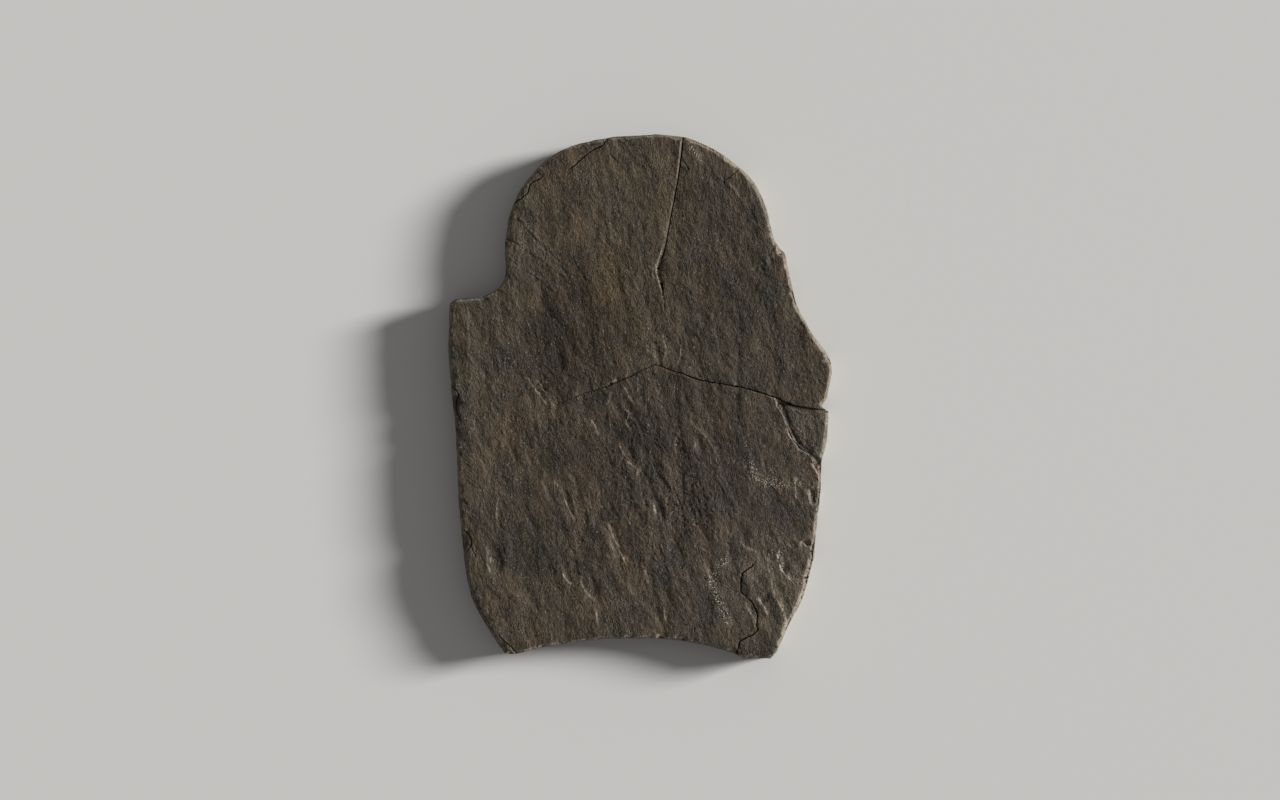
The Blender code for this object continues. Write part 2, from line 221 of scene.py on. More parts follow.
CRACKS = (
    Crack(
        (
            (684, 128, 1.0), (683, 138, 1.0), (682, 150, 0.8), (680, 165, 0.6), (677, 185, 0.45),
            (673, 205, 0.45), (668, 232, 0.5), (664, 252, 0.6), (659.5, 264, 1.1), (658.5, 270, 1.7),
            (660.5, 280, 1.8), (662.5, 288, 1.1), (663, 294, 0.3),
        ),
        width=0.0021,
        depth=0.0042,
        wander=0.0002,
    ),
    Crack(
        (
            (792, 404, 1.2), (785, 401.7, 1.2), (777, 398, 1.0), (768, 395, 0.9), (755, 391, 1.0),
            (740, 387, 1.0), (722, 384, 0.7), (705, 381, 0.8), (697, 379, 1.2), (690, 377, 1.3),
            (684, 374, 0.7), (676, 372, 0.5), (668, 369, 0.6), (655, 365, 0.45), (645, 369, 0.45),
            (635, 374, 0.35), (620, 381, 0.45), (606, 387, 0.35), (592, 391, 0.3), (570, 399, 0.35),
            (555, 405, 0.15),
        ),
        width=0.0011,
        depth=0.0032,
    ),
    Crack(
        (
            (611, 132, 1.0), (607, 140, 1.0), (602, 146, 0.9), (594, 149, 1.0), (590, 152, 1.1),
            (585.5, 156, 1.2), (580.5, 159.5, 1.2), (575, 165, 1.0), (568, 170, 0.4),
        ),
        width=0.0015,
        depth=0.0024,
    ),
    Crack(
        (
            (513, 204, 0.9), (520, 199, 1.0), (527, 193, 0.9), (529.5, 186, 1.0), (532.5, 182.5, 1.0),
            (539, 179, 0.9), (544, 174, 0.5),
        ),
        width=0.0014,
        depth=0.0022,
    ),
    Crack(((609, 152, 0.3), (613, 157, 1.0), (618, 163, 0.3)), width=0.0010, depth=0.0016),
    Crack(
        (
            (756, 561, 0.3), (752.5, 566, 0.8), (747, 569.5, 0.9), (742.7, 573, 0.9), (741.8, 577.5, 1.0),
            (741, 586, 1.0), (741, 591, 0.9), (745.4, 596, 0.8), (750.7, 601, 0.9), (755, 608, 1.0),
            (757.4, 614, 1.1), (757, 619.5, 1.0), (756.5, 625, 1.0), (758, 630, 0.9), (754, 634, 0.7),
            (748, 637, 0.8), (740, 642, 1.0), (738.7, 647, 1.1), (737.3, 652, 1.2), (736.5, 664, 1.2),
        ),
        width=0.0016,
        depth=0.0034,
        wander=0.0004,
    ),
    Crack(((497, 520, 0.3), (501, 527, 1.0), (507, 532, 0.3)), width=0.0011, depth=0.0016),
    Crack(((684, 162, 0.4), (688, 168, 0.8), (683, 178, 0.3)), width=0.0011, depth=0.0016),
    Crack(((497, 634, 0.3), (504, 641, 1.0), (511, 647, 1.0), (517, 655, 1.0)), width=0.0013, depth=0.0028),
    Crack(((452, 386, 0.6), (458, 393, 1.0), (456, 405, 0.8), (461, 423, 0.3)), width=0.0012, depth=0.0022),
    Crack(((464, 530, 0.6), (470, 537, 0.9), (472, 548, 0.8), (476, 558, 0.3)), width=0.0012, depth=0.0020),
    Crack(((727, 187, 0.3), (724, 182, 0.9), (731, 176, 0.8), (737, 171, 0.3)), width=0.0010, depth=0.0014),
)

STEPS = (
    Step(((811, 456), (812.7, 461), (815.7, 469.6), (822, 478)), 0.0020, 0.014, 0.0009, ragged=0.1),
    Step(
        ((768, 397), (774, 398), (777.5, 405), (781, 412), (785, 420), (787, 427.5)),
        0.0017, 0.012, 0.0009, ragged=0.1,
    ),
    Step(
        ((787, 427.5), (789, 435), (793, 440), (799.4, 449), (804.5, 452), (811, 456)),
        0.0017, 0.012, 0.0009, ragged=0.1,
    ),
    Step(((607, 521), (611, 530), (614, 537), (617, 545), (620, 551), (626, 563)), 0.0010, 0.050, 0.0014),
    Step(((681.4, 135), (680.4, 150), (678.6, 165), (676.4, 180)), 0.0014, 0.014, 0.0007, ragged=0.2),
    Step(((676.4, 176), (671.6, 205), (666.6, 232), (663, 250)), 0.0005, 0.014, 0.0007, ragged=0.7),
    Step(((663.2, 246), (657.4, 264), (656.4, 270), (658.6, 280), (660.4, 290)), 0.0015, 0.016, 0.0007, ragged=0.2),
    Step(((810, 486), (811.5, 498), (814, 504), (820, 508)), 0.0009, 0.030, 0.0008),
    Step(((794.5, 474), (795, 484), (796.5, 501)), 0.0010, 0.017, 0.0008),
    Step(((767, 556), (769, 568), (771.5, 578), (773, 590), (776, 598)), 0.0008, 0.018, 0.0008),
    Step(((777, 550), (780, 566), (784.6, 574), (791, 577.5), (799, 581)), 0.0010, 0.020, 0.0009),
    Step(((776, 598), (782, 608), (785, 618), (784.5, 630)), 0.0008, 0.018, 0.0010),
    Step(((757, 596), (761, 602.5), (765, 609), (768.6, 616)), 0.0014, 0.019),
    Step(((744, 604), (749, 611), (753, 619)), 0.0009, 0.017),
    Step(((468, 304), (469, 333), (470, 354), (471, 374), (470, 390), (466, 402)), 0.00035, 0.020, 0.0009),
    Step(((473, 399), (474, 420), (474, 440), (474, 461)), 0.00035, 0.017, 0.0009),
    Step(((498, 498), (497, 510), (497, 520), (502, 528)), 0.0009, 0.023),
    Step(((487, 545), (487, 556), (488, 566), (492, 575)), 0.0011, 0.023, 0.0009),
    Step(((473, 597), (477, 608), (485, 627)), 0.0011, 0.019, 0.0010),
    Step(((554, 479), (556, 483), (559, 488)), 0.0009, 0.019),
    Step(((564, 497), (567, 505), (571, 513), (576, 524)), 0.0009, 0.027),
    Step(((562, 572), (565, 578), (572, 585)), 0.0013, 0.019),
    Step(((581, 574), (582, 584), (587, 593), (595, 600)), 0.0012, 0.023),
    Step(((595, 608), (597, 618), (600, 629)), 0.0010, 0.019),
    Step(((618, 440), (621, 448), (625, 456)), 0.0011, 0.019),
    Step(((626, 462), (633, 465), (638, 471), (636, 477)), 0.0011, 0.015),
    Step(((664, 608), (665, 615), (667, 624)), 0.0008, 0.019),
    Step(((629, 628), (630, 634), (629, 640)), 0.0007, 0.015),
    Step(((654, 500), (655, 512), (656, 524)), 0.0004, 0.014),
    Step(((624, 386), (628, 394), (635, 405)), 0.0011, 0.023, 0.0012),
    Step(((621, 404), (626, 409), (629, 415), (626, 422), (632, 431)), 0.0011, 0.019, 0.0010),
    Step(((639, 374), (638, 382), (639, 392)), 0.0011, 0.019, 0.0009),
    Step(((646, 394), (646, 402), (647, 413)), 0.0009, 0.015),
    Step(((642, 338), (646, 346), (650, 354)), 0.0007, 0.019),
    Step(((661, 333), (665, 343), (666, 352), (663, 362)), 0.0010, 0.023, 0.0010),
    Step(((680, 343), (681, 352), (677, 366)), 0.0009, 0.019),
    Step(((681, 431), (675, 440), (677, 456)), 0.0009, 0.019),
    Step(((590, 417), (594, 425), (600, 436)), 0.0010, 0.023),
    Step(((612, 391), (609, 399), (606, 406)), 0.0008, 0.019),
    Step(((690, 421), (700, 430), (708, 439), (714, 449), (720, 461)), 0.0006, 0.019),
    Step(((526, 375), (533, 386), (541, 397), (549, 407)), 0.0009, 0.027, 0.0012),
    Step(((536, 378), (545, 392), (556, 409)), 0.0009, 0.023, 0.0010),
    Step(((508, 236), (526, 250), (545, 263), (566, 278)), 0.0009, 0.020, 0.0034, Side.LEFT, 0.3),
    Step(((514, 214), (532, 234), (552, 254), (572, 270)), 0.0009, 0.020, 0.0034, Side.LEFT, 0.3),
    Step(((506, 256), (522, 268), (540, 280), (556, 294)), 0.0008, 0.018, 0.0030, Side.LEFT, 0.3),
    Step(((702, 558), (708, 572), (713, 590)), 0.0007, 0.027, 0.0013),
    Step(((745, 601), (752, 613), (757, 624)), 0.0007, 0.019, 0.0010),
    Step(((540, 478), (546, 492), (552, 508)), 0.0006, 0.027, 0.0013),
    Step(((785, 246), (776, 252), (766, 262), (748, 270)), 0.0007, 0.027, 0.0012),
    Step(((727, 181), (735, 189), (742, 200)), 0.0007, 0.023, 0.0012),
    Step(((789, 290), (796, 305), (806, 322), (818, 342)), 0.0007, 0.023, 0.0010),
    Step(((738, 540), (748, 548), (760, 552)), 0.0008, 0.027, 0.0013),
    Step(((640, 560), (646, 574), (650, 590)), 0.0007, 0.023, 0.0012),
)

HOLLOWS = (
    Hollow((495, 558), 0.024, 0.0080, 0.0009, 5.0),
    Hollow((567, 572), 0.014, 0.0050, 0.0012, 20.0),
    Hollow((619, 566), 0.016, 0.0060, 0.0010, 20.0),
    Hollow((532, 258), 0.060, 0.0140, 0.0004, 52.0),
    Hollow((536, 310), 0.060, 0.0200, 0.0010, 15.0),
    Hollow((648, 468), 0.030, 0.0140, 0.0009, 25.0),
    Hollow((610, 425), 0.030, 0.0100, 0.0010, 20.0),
    Hollow((686, 512), 0.026, 0.0200, 0.0006, 15.0),
    Hollow((748, 584), 0.020, 0.0070, -0.0012, 5.0),
    Hollow((770, 640), 0.024, 0.0160, -0.0009, 10.0),
    Hollow((752, 602), 0.020, 0.0060, -0.0008, 20.0),
    Hollow((640, 350), 0.040, 0.0200, -0.0008, 15.0),
    Hollow((660, 268), 0.010, 0.0060, 0.0012, -10.0),
)

# Stains in the stone, with painted light on broad slopes that face the key light and painted shade on slopes that
# face away.
STAINS_AND_PAINTED_SHADE = (
    StainAndPaintedShade((607, 276), (12, 38), (1.52, 1.34, 0.94), 35),
    StainAndPaintedShade((655, 338), (13, 40), (1.30, 1.24, 1.12), 30),
    StainAndPaintedShade((552, 340), (32, 44), (0.60, 0.57, 0.52)),
    StainAndPaintedShade((597, 328), (30, 48), (0.66, 0.61, 0.48)),
    StainAndPaintedShade((574, 277), (20, 20), (0.68, 0.64, 0.56)),
    StainAndPaintedShade((734, 286), (50, 38), (0.60, 0.57, 0.54)),
    StainAndPaintedShade((738, 358), (34, 28), (0.74, 0.76, 0.84)),
    StainAndPaintedShade((648, 437), (28, 24), (0.46, 0.45, 0.46)),
    StainAndPaintedShade((652, 400), (18, 20), (0.80, 0.77, 0.76)),
    StainAndPaintedShade((576, 445), (18, 26), (0.84, 0.81, 0.78)),
    StainAndPaintedShade((606, 466), (26, 34), (0.78, 0.76, 0.76)),
    StainAndPaintedShade((724, 486), (48, 46), (0.72, 0.74, 0.86)),
    StainAndPaintedShade((786, 514), (30, 18), (0.78, 0.78, 0.90)),
    StainAndPaintedShade((690, 440), (24, 30), (0.86, 0.84, 0.86)),
    StainAndPaintedShade((740, 520), (16, 14), (1.20, 1.20, 1.22)),
    StainAndPaintedShade((560, 516), (26, 14), (0.84, 0.83, 0.84)),
    StainAndPaintedShade((541, 556), (34, 32), (0.68, 0.75, 0.70)),
    StainAndPaintedShade((512, 520), (20, 18), (0.86, 0.84, 0.82)),
    StainAndPaintedShade((786, 586), (36, 56), (1.52, 1.56, 1.66)),
    StainAndPaintedShade((738, 575), (24, 42), (1.18, 1.22, 1.34)),
    StainAndPaintedShade((700, 588), (36, 38), (1.00, 1.06, 1.20)),
    StainAndPaintedShade((624, 562), (10, 38), (1.32, 1.29, 1.26), 20),
    StainAndPaintedShade((602, 604), (32, 26), (1.24, 1.22, 1.22)),
    StainAndPaintedShade((573, 500), (11, 25), (1.46, 1.46, 1.46), 15),
    StainAndPaintedShade((541, 408), (15, 18), (1.24, 1.24, 1.16)),
    StainAndPaintedShade((470, 400), (18, 70), (0.92, 0.96, 0.98)),
    StainAndPaintedShade((512, 300), (18, 34), (1.34, 1.32, 1.32)),
    StainAndPaintedShade((514, 450), (26, 40), (1.14, 1.12, 1.08)),
    StainAndPaintedShade((526, 262), (20, 14), (0.88, 0.89, 0.96)),
    StainAndPaintedShade((568, 220), (28, 32), (1.30, 1.26, 1.16)),
    StainAndPaintedShade((580, 168), (32, 24), (1.14, 1.09, 1.00)),
    StainAndPaintedShade((652, 216), (44, 70), (1.16, 1.14, 1.08)),
    StainAndPaintedShade((676, 162), (36, 22), (1.28, 1.26, 1.26)),
    StainAndPaintedShade((715, 212), (30, 46), (0.82, 0.80, 0.82)),
    StainAndPaintedShade((790, 450), (26, 34), (1.18, 1.18, 1.24)),
    StainAndPaintedShade((510, 606), (40, 34), (1.36, 1.33, 1.28)),
)

PECKS = (
    PeckedBand(((750, 466), (754, 475), (762, 481), (774, 484), (786, 484), (799, 483)), 0.0150),
    PeckedBand(((745, 438), (746, 446)), 0.004),
    PeckedBand(((725, 560), (716, 571), (712, 585), (717, 598), (724, 611), (729, 623)), 0.0135),
    PeckedBand(((689, 144), (694, 152), (701, 160)), 0.0070),
)


@dataclass(frozen=True)
class Chamfer:
    """A plain slope that runs down from a sharp line to the edge beside it.

    Attributes:
        route: pixel places along the sharp line, running down the photograph with the edge on its right.
        width: how far the slope runs, in metres.
        fall: how far it falls over that width, in metres.
        past: how far from the sharp line it is cut, in its own widths.
        deepest: the most that it falls, as a share of its fall.
        end: distance from either end over which it fades away, in metres.
    """

    route: Route
    width: float
    fall: float
    past: float = 1.8
    deepest: float = 1.1
    end: float = 0.006


CHAMFERS = (
    Chamfer(((826, 410), (825.5, 420), (824, 435), (822, 448), (818.5, 459)), 0.0062, 0.0050),
    Chamfer(((829, 352), (829.5, 370), (827, 386), (824, 398)), 0.0034, 0.0026),
    Chamfer(((818.5, 484), (817.5, 500), (814.5, 520), (812, 540), (809.5, 556)), 0.0026, 0.0020),
    Chamfer(((809.5, 556), (804.5, 574), (802, 588), (796, 602), (789, 618), (783, 632), (776, 646)), 0.0060, 0.0046),
    Chamfer(((748, 178), (755, 190), (761, 205), (766, 220), (770, 234)), 0.0052, 0.0036),
    Chamfer(((775.7, 242.5), (780, 253.5), (784.5, 260.5), (787, 266)), 0.0050, 0.0034),
)


@dataclass(frozen=True)
class Joint:
    """The open crack between the two pieces.

    Attributes:
        route: pixel places along it, each with how dark it is there.
        width: width of its dark line, in metres.
        ledge: how far from it the stone is as dull as the face, in metres.
        shelter: how far from it the edges are hardly worn, in metres.
        wear: share of the wear that is left beside it.
    """

    route: Route
    width: float
    ledge: float
    shelter: float
    wear: float


JOINT = Joint(
    (
        (832, 411, 0.8), (824, 410, 0.6), (818, 409, 0.3), (803, 406.5, 0.3), (790, 404, 0.5), (784.5, 404, 1.2),
        (783, 411, 1.2), (787, 419, 1.0), (790.5, 427.5, 0.9), (795.5, 436, 1.0), (798, 441, 1.0), (803, 447, 1.0),
        (808, 453, 0.8), (814, 458, 0.6), (822, 460.5, 0.5),
    ),
    width=0.0021,
    ledge=0.0034,
    shelter=0.0080,
    wear=0.12,
)


class GrainNoise:
    """Smooth random heights in space, the same each time for the same seed."""

    def __init__(self, seed: int) -> None:
        """Draws the table of gradients and the order they are met in.

        Args:
            seed: number that both are drawn from.
        """
        draw = np.random.default_rng(seed)
        self.order = draw.permutation(256)
        ways = draw.normal(size=(256, 3))
        self.ways = ways / np.linalg.norm(ways, axis=1, keepdims=True)

    def _corner(self, cell: Array, offset: Array, step: tuple[int, int, int]) -> Array:
        """Works out the pull of one corner of each point's cell.

        Args:
            cell: whole numbers of each point's cell.
            offset: each point's place in its cell.
            step: which of the cell's eight corners it is.

        Returns:
            The pull on each point.
        """
        number = self.order[(cell[:, 0] + step[0]) & 255]
        number = self.order[(number + cell[:, 1] + step[1]) & 255]
        number = self.order[(number + cell[:, 2] + step[2]) & 255]
        return np.einsum("ij,ij->i", self.ways[number], offset - np.array(step))

    def __call__(self, places: Array) -> Array:
        """Returns a height between about -1 and 1 for each place.

        Args:
            places: one row of three coordinates for each point, in units of the noise's grain.

        Returns:
            The height at each point.
        """
        cell = np.floor(places).astype(np.int64)
        offset = places - cell
        ease = offset**3 * (offset * (offset * 6 - 15) + 10)
        total = np.zeros(len(places))
        for step in np.ndindex(2, 2, 2):
            share = np.prod(np.where(np.array(step) == 1, ease, 1 - ease), axis=1)
            total += share * self._corner(cell, offset, step)
        return total * 1.6


def smooth_step(low: float, high: float, value: Array) -> Array:
    """Returns 0 below low, 1 above high and an eased share between."""
    share = np.clip((value - low) / (high - low), 0, 1)
    return share * share * (3 - 2 * share)


def turned(places: Array, degrees: float) -> tuple[Array, Array]:
    """Measures places across and along a way that leans from the upright.

    Args:
        places: one row for each point, with x and y first.
        degrees: how far the way leans towards the upper left, in degrees.

    Returns:
        How far each point lies across the way, and how far along it.
    """
    turn = math.radians(degrees)
    x, y = places[:, 0], places[:, 1]
    return x * math.cos(turn) + y * math.sin(turn), y * math.cos(turn) - x * math.sin(turn)


@dataclass(frozen=True)
class Nearby:
    """The points of a mesh that lie close to a line.

    Attributes:
        index: which points they are.
        distance: how far each is from the line, in metres.
        side: 1 where a point lies right of a line that runs down the photograph, and -1 where it lies left.
        share: how far along the line its nearest place is, from 0 to 1.
        foot: that nearest place.
    """

    index: Array
    distance: Array
    side: Array
    share: Array
    foot: Array


class Line:
    """A smooth line on the face through a route of pixel places.

    Attributes:
        SPACING: distance between its points, in metres.
        SWAY: usual length of one of its small bends, in metres.
    """

    SPACING = 0.0012
    SWAY = 0.006

    def __init__(self, route: Route, wander: float = 0.0, seed: int = 0) -> None:
        """Runs a smooth curve through the route and lets it stray a little to either side.

        Args:
            route: pixel places, with the opening of a crack as an optional third number.
            wander: how far the line strays, in metres.
            seed: which of many ways it strays.
        """
        knots = PHOTO.place(route)
        values = np.array([point[2] if len(point) > 2 else 1.0 for point in route])
        lengths = np.concatenate([[0], np.cumsum(np.linalg.norm(np.diff(knots, axis=0), axis=1))])
        count = max(4, int(lengths[-1] / self.SPACING))
        at = np.linspace(0, lengths[-1], count)
        slopes = np.gradient(knots, lengths, axis=0)
        piece = np.clip(np.searchsorted(lengths, at, side="right") - 1, 0, len(knots) - 2)
        span = (lengths[piece + 1] - lengths[piece])[:, None]
        share = (at[:, None] - lengths[piece][:, None]) / span
        points = (
            (2 * share**3 - 3 * share**2 + 1) * knots[piece]
            + (share**3 - 2 * share**2 + share) * span * slopes[piece]
            + (3 * share**2 - 2 * share**3) * knots[piece + 1]
            + (share**3 - share**2) * span * slopes[piece + 1]
        )
        ways = np.gradient(points, axis=0)
        ways /= np.maximum(np.linalg.norm(ways, axis=1, keepdims=True), 1e-9)
        stray = GrainNoise(seed)
        along = np.stack([at / self.SWAY, np.full(count, 0.5), np.full(count, 0.5)], 1)
        sway = stray(along) + 0.5 * stray(along * 2.7)
        self.points = points + np.stack([-ways[:, 1], ways[:, 0]], 1) * (wander * sway)[:, None]
        self.opening = np.interp(at, lengths, values)
        self.length = lengths[-1]

    def opening_at(self, share: Array) -> Array:
        """Returns the third number of the route at shares of the line's length."""
        return np.interp(share, np.linspace(0, 1, len(self.opening)), self.opening)

    def away_from_ends(self, near: Nearby, run: float) -> Array:
        """Returns a share that rises from 0 at the line's ends to 1 at a distance of run along it."""
        return smooth_step(0, run, np.minimum(near.share, 1 - near.share) * self.length)

    def nearby(self, places: Array, reach: float) -> Nearby:
        """Finds the places within reach of the line.

        Args:
            places: one row of x and y for each point, in metres.
            reach: how far to look, in metres.

        Returns:
            The points found, with where they lie beside the line.
        """
        low, high = self.points.min(0) - reach, self.points.max(0) + reach
        found = np.flatnonzero(((places > low) & (places < high)).all(1))
        here = places[found]
        best = np.full(len(found), np.inf)
        side = np.zeros(len(found))
        share = np.zeros(len(found))
        foot = np.zeros((len(found), 2))
        starts, ends = self.points[:-1], self.points[1:]
        for number, (start, end) in enumerate(zip(starts, ends)):
            way = end - start
            offset = here - start
            t = np.clip(offset @ way / max(way @ way, 1e-18), 0, 1)
            gap = offset - t[:, None] * way
            distance = np.einsum("ij,ij->i", gap, gap)
            closer = distance < best
            best[closer] = distance[closer]
            side[closer] = np.where((way[1] * gap[:, 0] - way[0] * gap[:, 1]) < 0, 1.0, -1.0)[closer]
            share[closer] = ((number + t) / len(starts))[closer]
            foot[closer] = (start + t[:, None] * way)[closer]
        close = best < reach**2
        return Nearby(found[close], np.sqrt(best[close]), side[close], share[close], foot[close])


@dataclass(frozen=True)
class Bed:
    """One size of the ridges that the splitting left.

    Attributes:
        width: size across the grain in metres.
        length: size along the grain in metres.
        height: height in metres.
        turn: turn from the grain's own lean, in degrees, towards the upper left.
    """

    width: float
    length: float
    height: float
    turn: float = 0.0


@dataclass(frozen=True)
class Sheet:
    """One size of the thin layers that broke off over one another.

    Attributes:
        width: size across the grain in metres.
        length: size along the grain in metres.
        swing: height over which the layers lie, in metres.
        rise: thickness of one layer in metres.
        turn: turn from the grain's own lean, in degrees, towards the upper left.
    """

    width: float
    length: float
    swing: float
    rise: float
    turn: float = 0.0


@dataclass(frozen=True)
class Bend:
    """A place round which the grain bends.

    Attributes:
        middle: pixel place of its middle.
        reach: how far the bend is felt, in metres.
        pull: how far the grain moves across for each metre along it.
    """

    middle: tuple[float, float]
    reach: float
    pull: float


@dataclass
class FaceCarving:
    """Carves the face of the stele.

    Attributes:
        lean: turn of the grain from the upright, in degrees, towards the upper left.
        bends: the places round which it bends.
        sways: how it wanders besides, with a height that is how far it wanders.
        beds: the sizes of ridge, from broad to fine.
        sheets: the split layers that stand over one another.
        layer_front: share of a layer's tread before the front of the next one rises.
        layer_level: share of the layers' height that is taken away again, to keep the face level.
        patch: size of the patches where the relief is stronger or weaker, with the share as its height.
        seed: number that the random shapes are drawn from.
        step_end: distance from its ends over which a step fades away, in metres.
        lip: height of the raised lip along a step, as a share of the step's.
        lip_width: width of that lip, in runs of the step.
        lowest: least height of a ragged step, as a share of its full height.
        swing: how much more than that it may have.
        break_grain: usual distance over which a step's height changes, in metres.
        rough_middle: pixel place of the middle of the roughest ground.
        rough_reach: how far that ground spreads across and up, in pixels.
        rough_gain: how much stronger the relief is there.
        pit_middle: pixel place of the middle of the pitted ground.
        pit_reach: how far it spreads across and up, in pixels.
        pit_size: usual size of a pit in metres.
        pit_depth: depth of a pit in metres.
    """

    lean: float = 15.0
    bends: tuple[Bend, ...] = (
        Bend((530, 315), 0.085, 0.14),
        Bend((670, 230), 0.085, -0.16),
        Bend((800, 405), 0.060, 0.18),
        Bend((612, 545), 0.060, 0.12),
    )
    sways: tuple[Bed, ...] = (Bed(0.045, 0.070, 0.0050), Bed(0.012, 0.022, 0.0019))
    beds: tuple[Bed, ...] = (
        Bed(0.046, 0.110, 0.00072),
        Bed(0.021, 0.050, 0.00052, -8.0),
        Bed(0.0110, 0.024, 0.00031, 6.0),
        Bed(0.0062, 0.0125, 0.00023, -16.0),
        Bed(0.0040, 0.0070, 0.00026, 12.0),
    )
    sheets: tuple[Sheet, ...] = (
        Sheet(0.030, 0.075, 0.0024, 0.00042, -10.0),
        Sheet(0.013, 0.030, 0.0012, 0.00032, 8.0),
    )
    layer_front: float = 0.78
    layer_level: float = 0.55
    patch: Bed = Bed(0.09, 0.12, 0.35)
    seed: int = 31
    step_end: float = 0.008
    lip: float = 0.20
    lip_width: float = 2.5
    lowest: float = 0.42
    swing: float = 0.80
    break_grain: float = 0.0045
    rough_middle: tuple[float, float] = (655.0, 475.0)
    rough_reach: tuple[float, float] = (110.0, 95.0)
    rough_gain: float = 0.50
    pit_middle: tuple[float, float] = (690.0, 508.0)
    pit_reach: tuple[float, float] = (62.0, 30.0)
    pit_size: float = 0.0052
    pit_depth: float = 0.0010

    def grain_places(self, places: Array) -> Array:
        """Measures each place across and along the grain, bent a little as real grain is.

        Args:
            places: one row of x, y and z in metres for each point.

        Returns:
            One row of across, along and height in metres.
        """
        across, along = turned(places, self.lean)
        height = places[:, 2]
        for bend in self.bends:
            offset = places[:, :2] - PHOTO.place((bend.middle,))[0]
            ahead = turned(offset, self.lean)[1]
            across = across + bend.pull * ahead * np.exp(-(offset**2).sum(1) / bend.reach**2)
        noise = GrainNoise(self.seed)
        for number, sway in enumerate(self.sways):
            spot = np.stack([across / sway.width, along / sway.length, height / sway.width], 1)
            across = across + sway.height * noise(spot + 40 * number)
        return np.stack([across, along, height], 1)

    @staticmethod
    def leaning(spot: Array, degrees: float) -> Array:
        """Returns places across and along the grain turned by an angle, at the heights that they have."""
        return np.stack([*turned(spot, degrees), spot[:, 2]], 1)

    def grain(self, places: Array) -> Array:
        """Adds up the ridges, the split layers and the pits.

        Args:
            places: one row of x, y and z in metres for each point.

        Returns:
            The height at each point, in metres.
        """
        spot = self.grain_places(places)
        height = np.zeros(len(places))
        for number, bed in enumerate(self.beds):
            noise = GrainNoise(self.seed + 1 + number)
            size = np.array([bed.width, bed.length, bed.width])
            height += bed.height * noise(self.leaning(spot, bed.turn) / size)
        for number, sheet in enumerate(self.sheets):
            noise = GrainNoise(self.seed + 20 + number)
            place = self.leaning(spot, sheet.turn) / [sheet.width, sheet.length, sheet.width]
            level = sheet.swing * (noise(place) + 0.45 * noise(place * 2.3 + 7)) / sheet.rise
            tread = np.floor(level)
            height += sheet.rise * (tread + smooth_step(self.layer_front, 1.0, level - tread))
            height -= sheet.rise * level * self.layer_level
        size = np.array([self.patch.width, self.patch.length, self.patch.width])
        patch = self.patch.height * GrainNoise(self.seed + 30)(spot / size)
        height *= 1 + patch + self.rough_gain * self.within(places, self.rough_middle, self.rough_reach)
        pits = smooth_step(0.18, 0.55, GrainNoise(self.seed + 41)(places / self.pit_size))
        return height - self.pit_depth * pits * self.within(places, self.pit_middle, self.pit_reach)

    @staticmethod
    def within(places: Array, middle: tuple[float, float], reach: tuple[float, float]) -> Array:
        """Returns 1 in the middle of a patch of the face, falling off to 0 round it.

        Args:
            places: one row of x, y and z in metres for each point.
            middle: pixel place of the patch's middle.
            reach: how far it spreads across and up, in pixels.

        Returns:
            The share at each point.
        """
        gap = (places[:, :2] - PHOTO.place((middle,))[0]) / (np.array(reach) * PHOTO.metre())
        return np.exp(-(gap**2).sum(1))

    def steps(self, places: Array) -> Array:
        """Works out how far the steps lower or raise each place.

        Args:
            places: one row of x, y and z in metres for each point.

        Returns:
            The change at each point, in metres.
        """
        change = np.zeros(len(places))
        for step, line in zip(STEPS, LINES.steps):
            near = line.nearby(places[:, :2], step.reach)
            signed = near.distance * near.side * step.side.value
            fade = line.away_from_ends(near, min(self.step_end, line.length / 3))
            front = smooth_step(-step.run / 2, step.run / 2, signed)
            back = 1 - smooth_step(step.run, step.reach, near.distance)
            lip = np.exp(-((signed + step.run) ** 2) / (self.lip_width * step.run) ** 2) * (signed < 0) * self.lip
            change[near.index] += step.drop * fade * self.broken(step, near.foot) * (lip - front * back)
        return change

    def broken(self, step: Step, places: Array) -> Array:
        """Works out how ragged a step is.

        Args:
            step: the step.
            places: places along it, one row of x and y in metres for each.

        Returns:
            Its height at each of them, as a share of its full height.
        """
        spot = np.concatenate([places, np.zeros((len(places), 1))], 1)
        noise = GrainNoise(self.seed + 40)(spot / self.break_grain)
        share = self.lowest + self.swing * smooth_step(-0.55, 0.35, noise)
        return 1 + step.ragged * (share - 1)

    def chamfers(self, places: Array) -> Array:
        """Works out how far the chamfers lower each place.

        Args:
            places: one row of x, y and z in metres for each point.

        Returns:
            The change at each point, in metres, and never more than nothing.
        """
        change = np.zeros(len(places))
        for chamfer, line in zip(CHAMFERS, LINES.chamfers):
            near = line.nearby(places[:, :2], chamfer.width * chamfer.past)
            fade = line.away_from_ends(near, chamfer.end) * (near.side > 0)
            change[near.index] -= chamfer.fall * fade * np.minimum(near.distance / chamfer.width, chamfer.deepest)
        return change

    def hollows(self, places: Array) -> Array:
        """Works out how far the hollows and swells move each place.

        Args:
            places: one row of x, y and z in metres for each point.

        Returns:
            The change at each point, in metres.
        """
        change = np.zeros(len(places))
        for hollow in HOLLOWS:
            across, along = turned(places[:, :2] - PHOTO.place((hollow.middle,))[0], hollow.lean)
            change -= hollow.depth * np.exp(-((across / hollow.width) ** 2) - (along / hollow.length) ** 2)
        return change


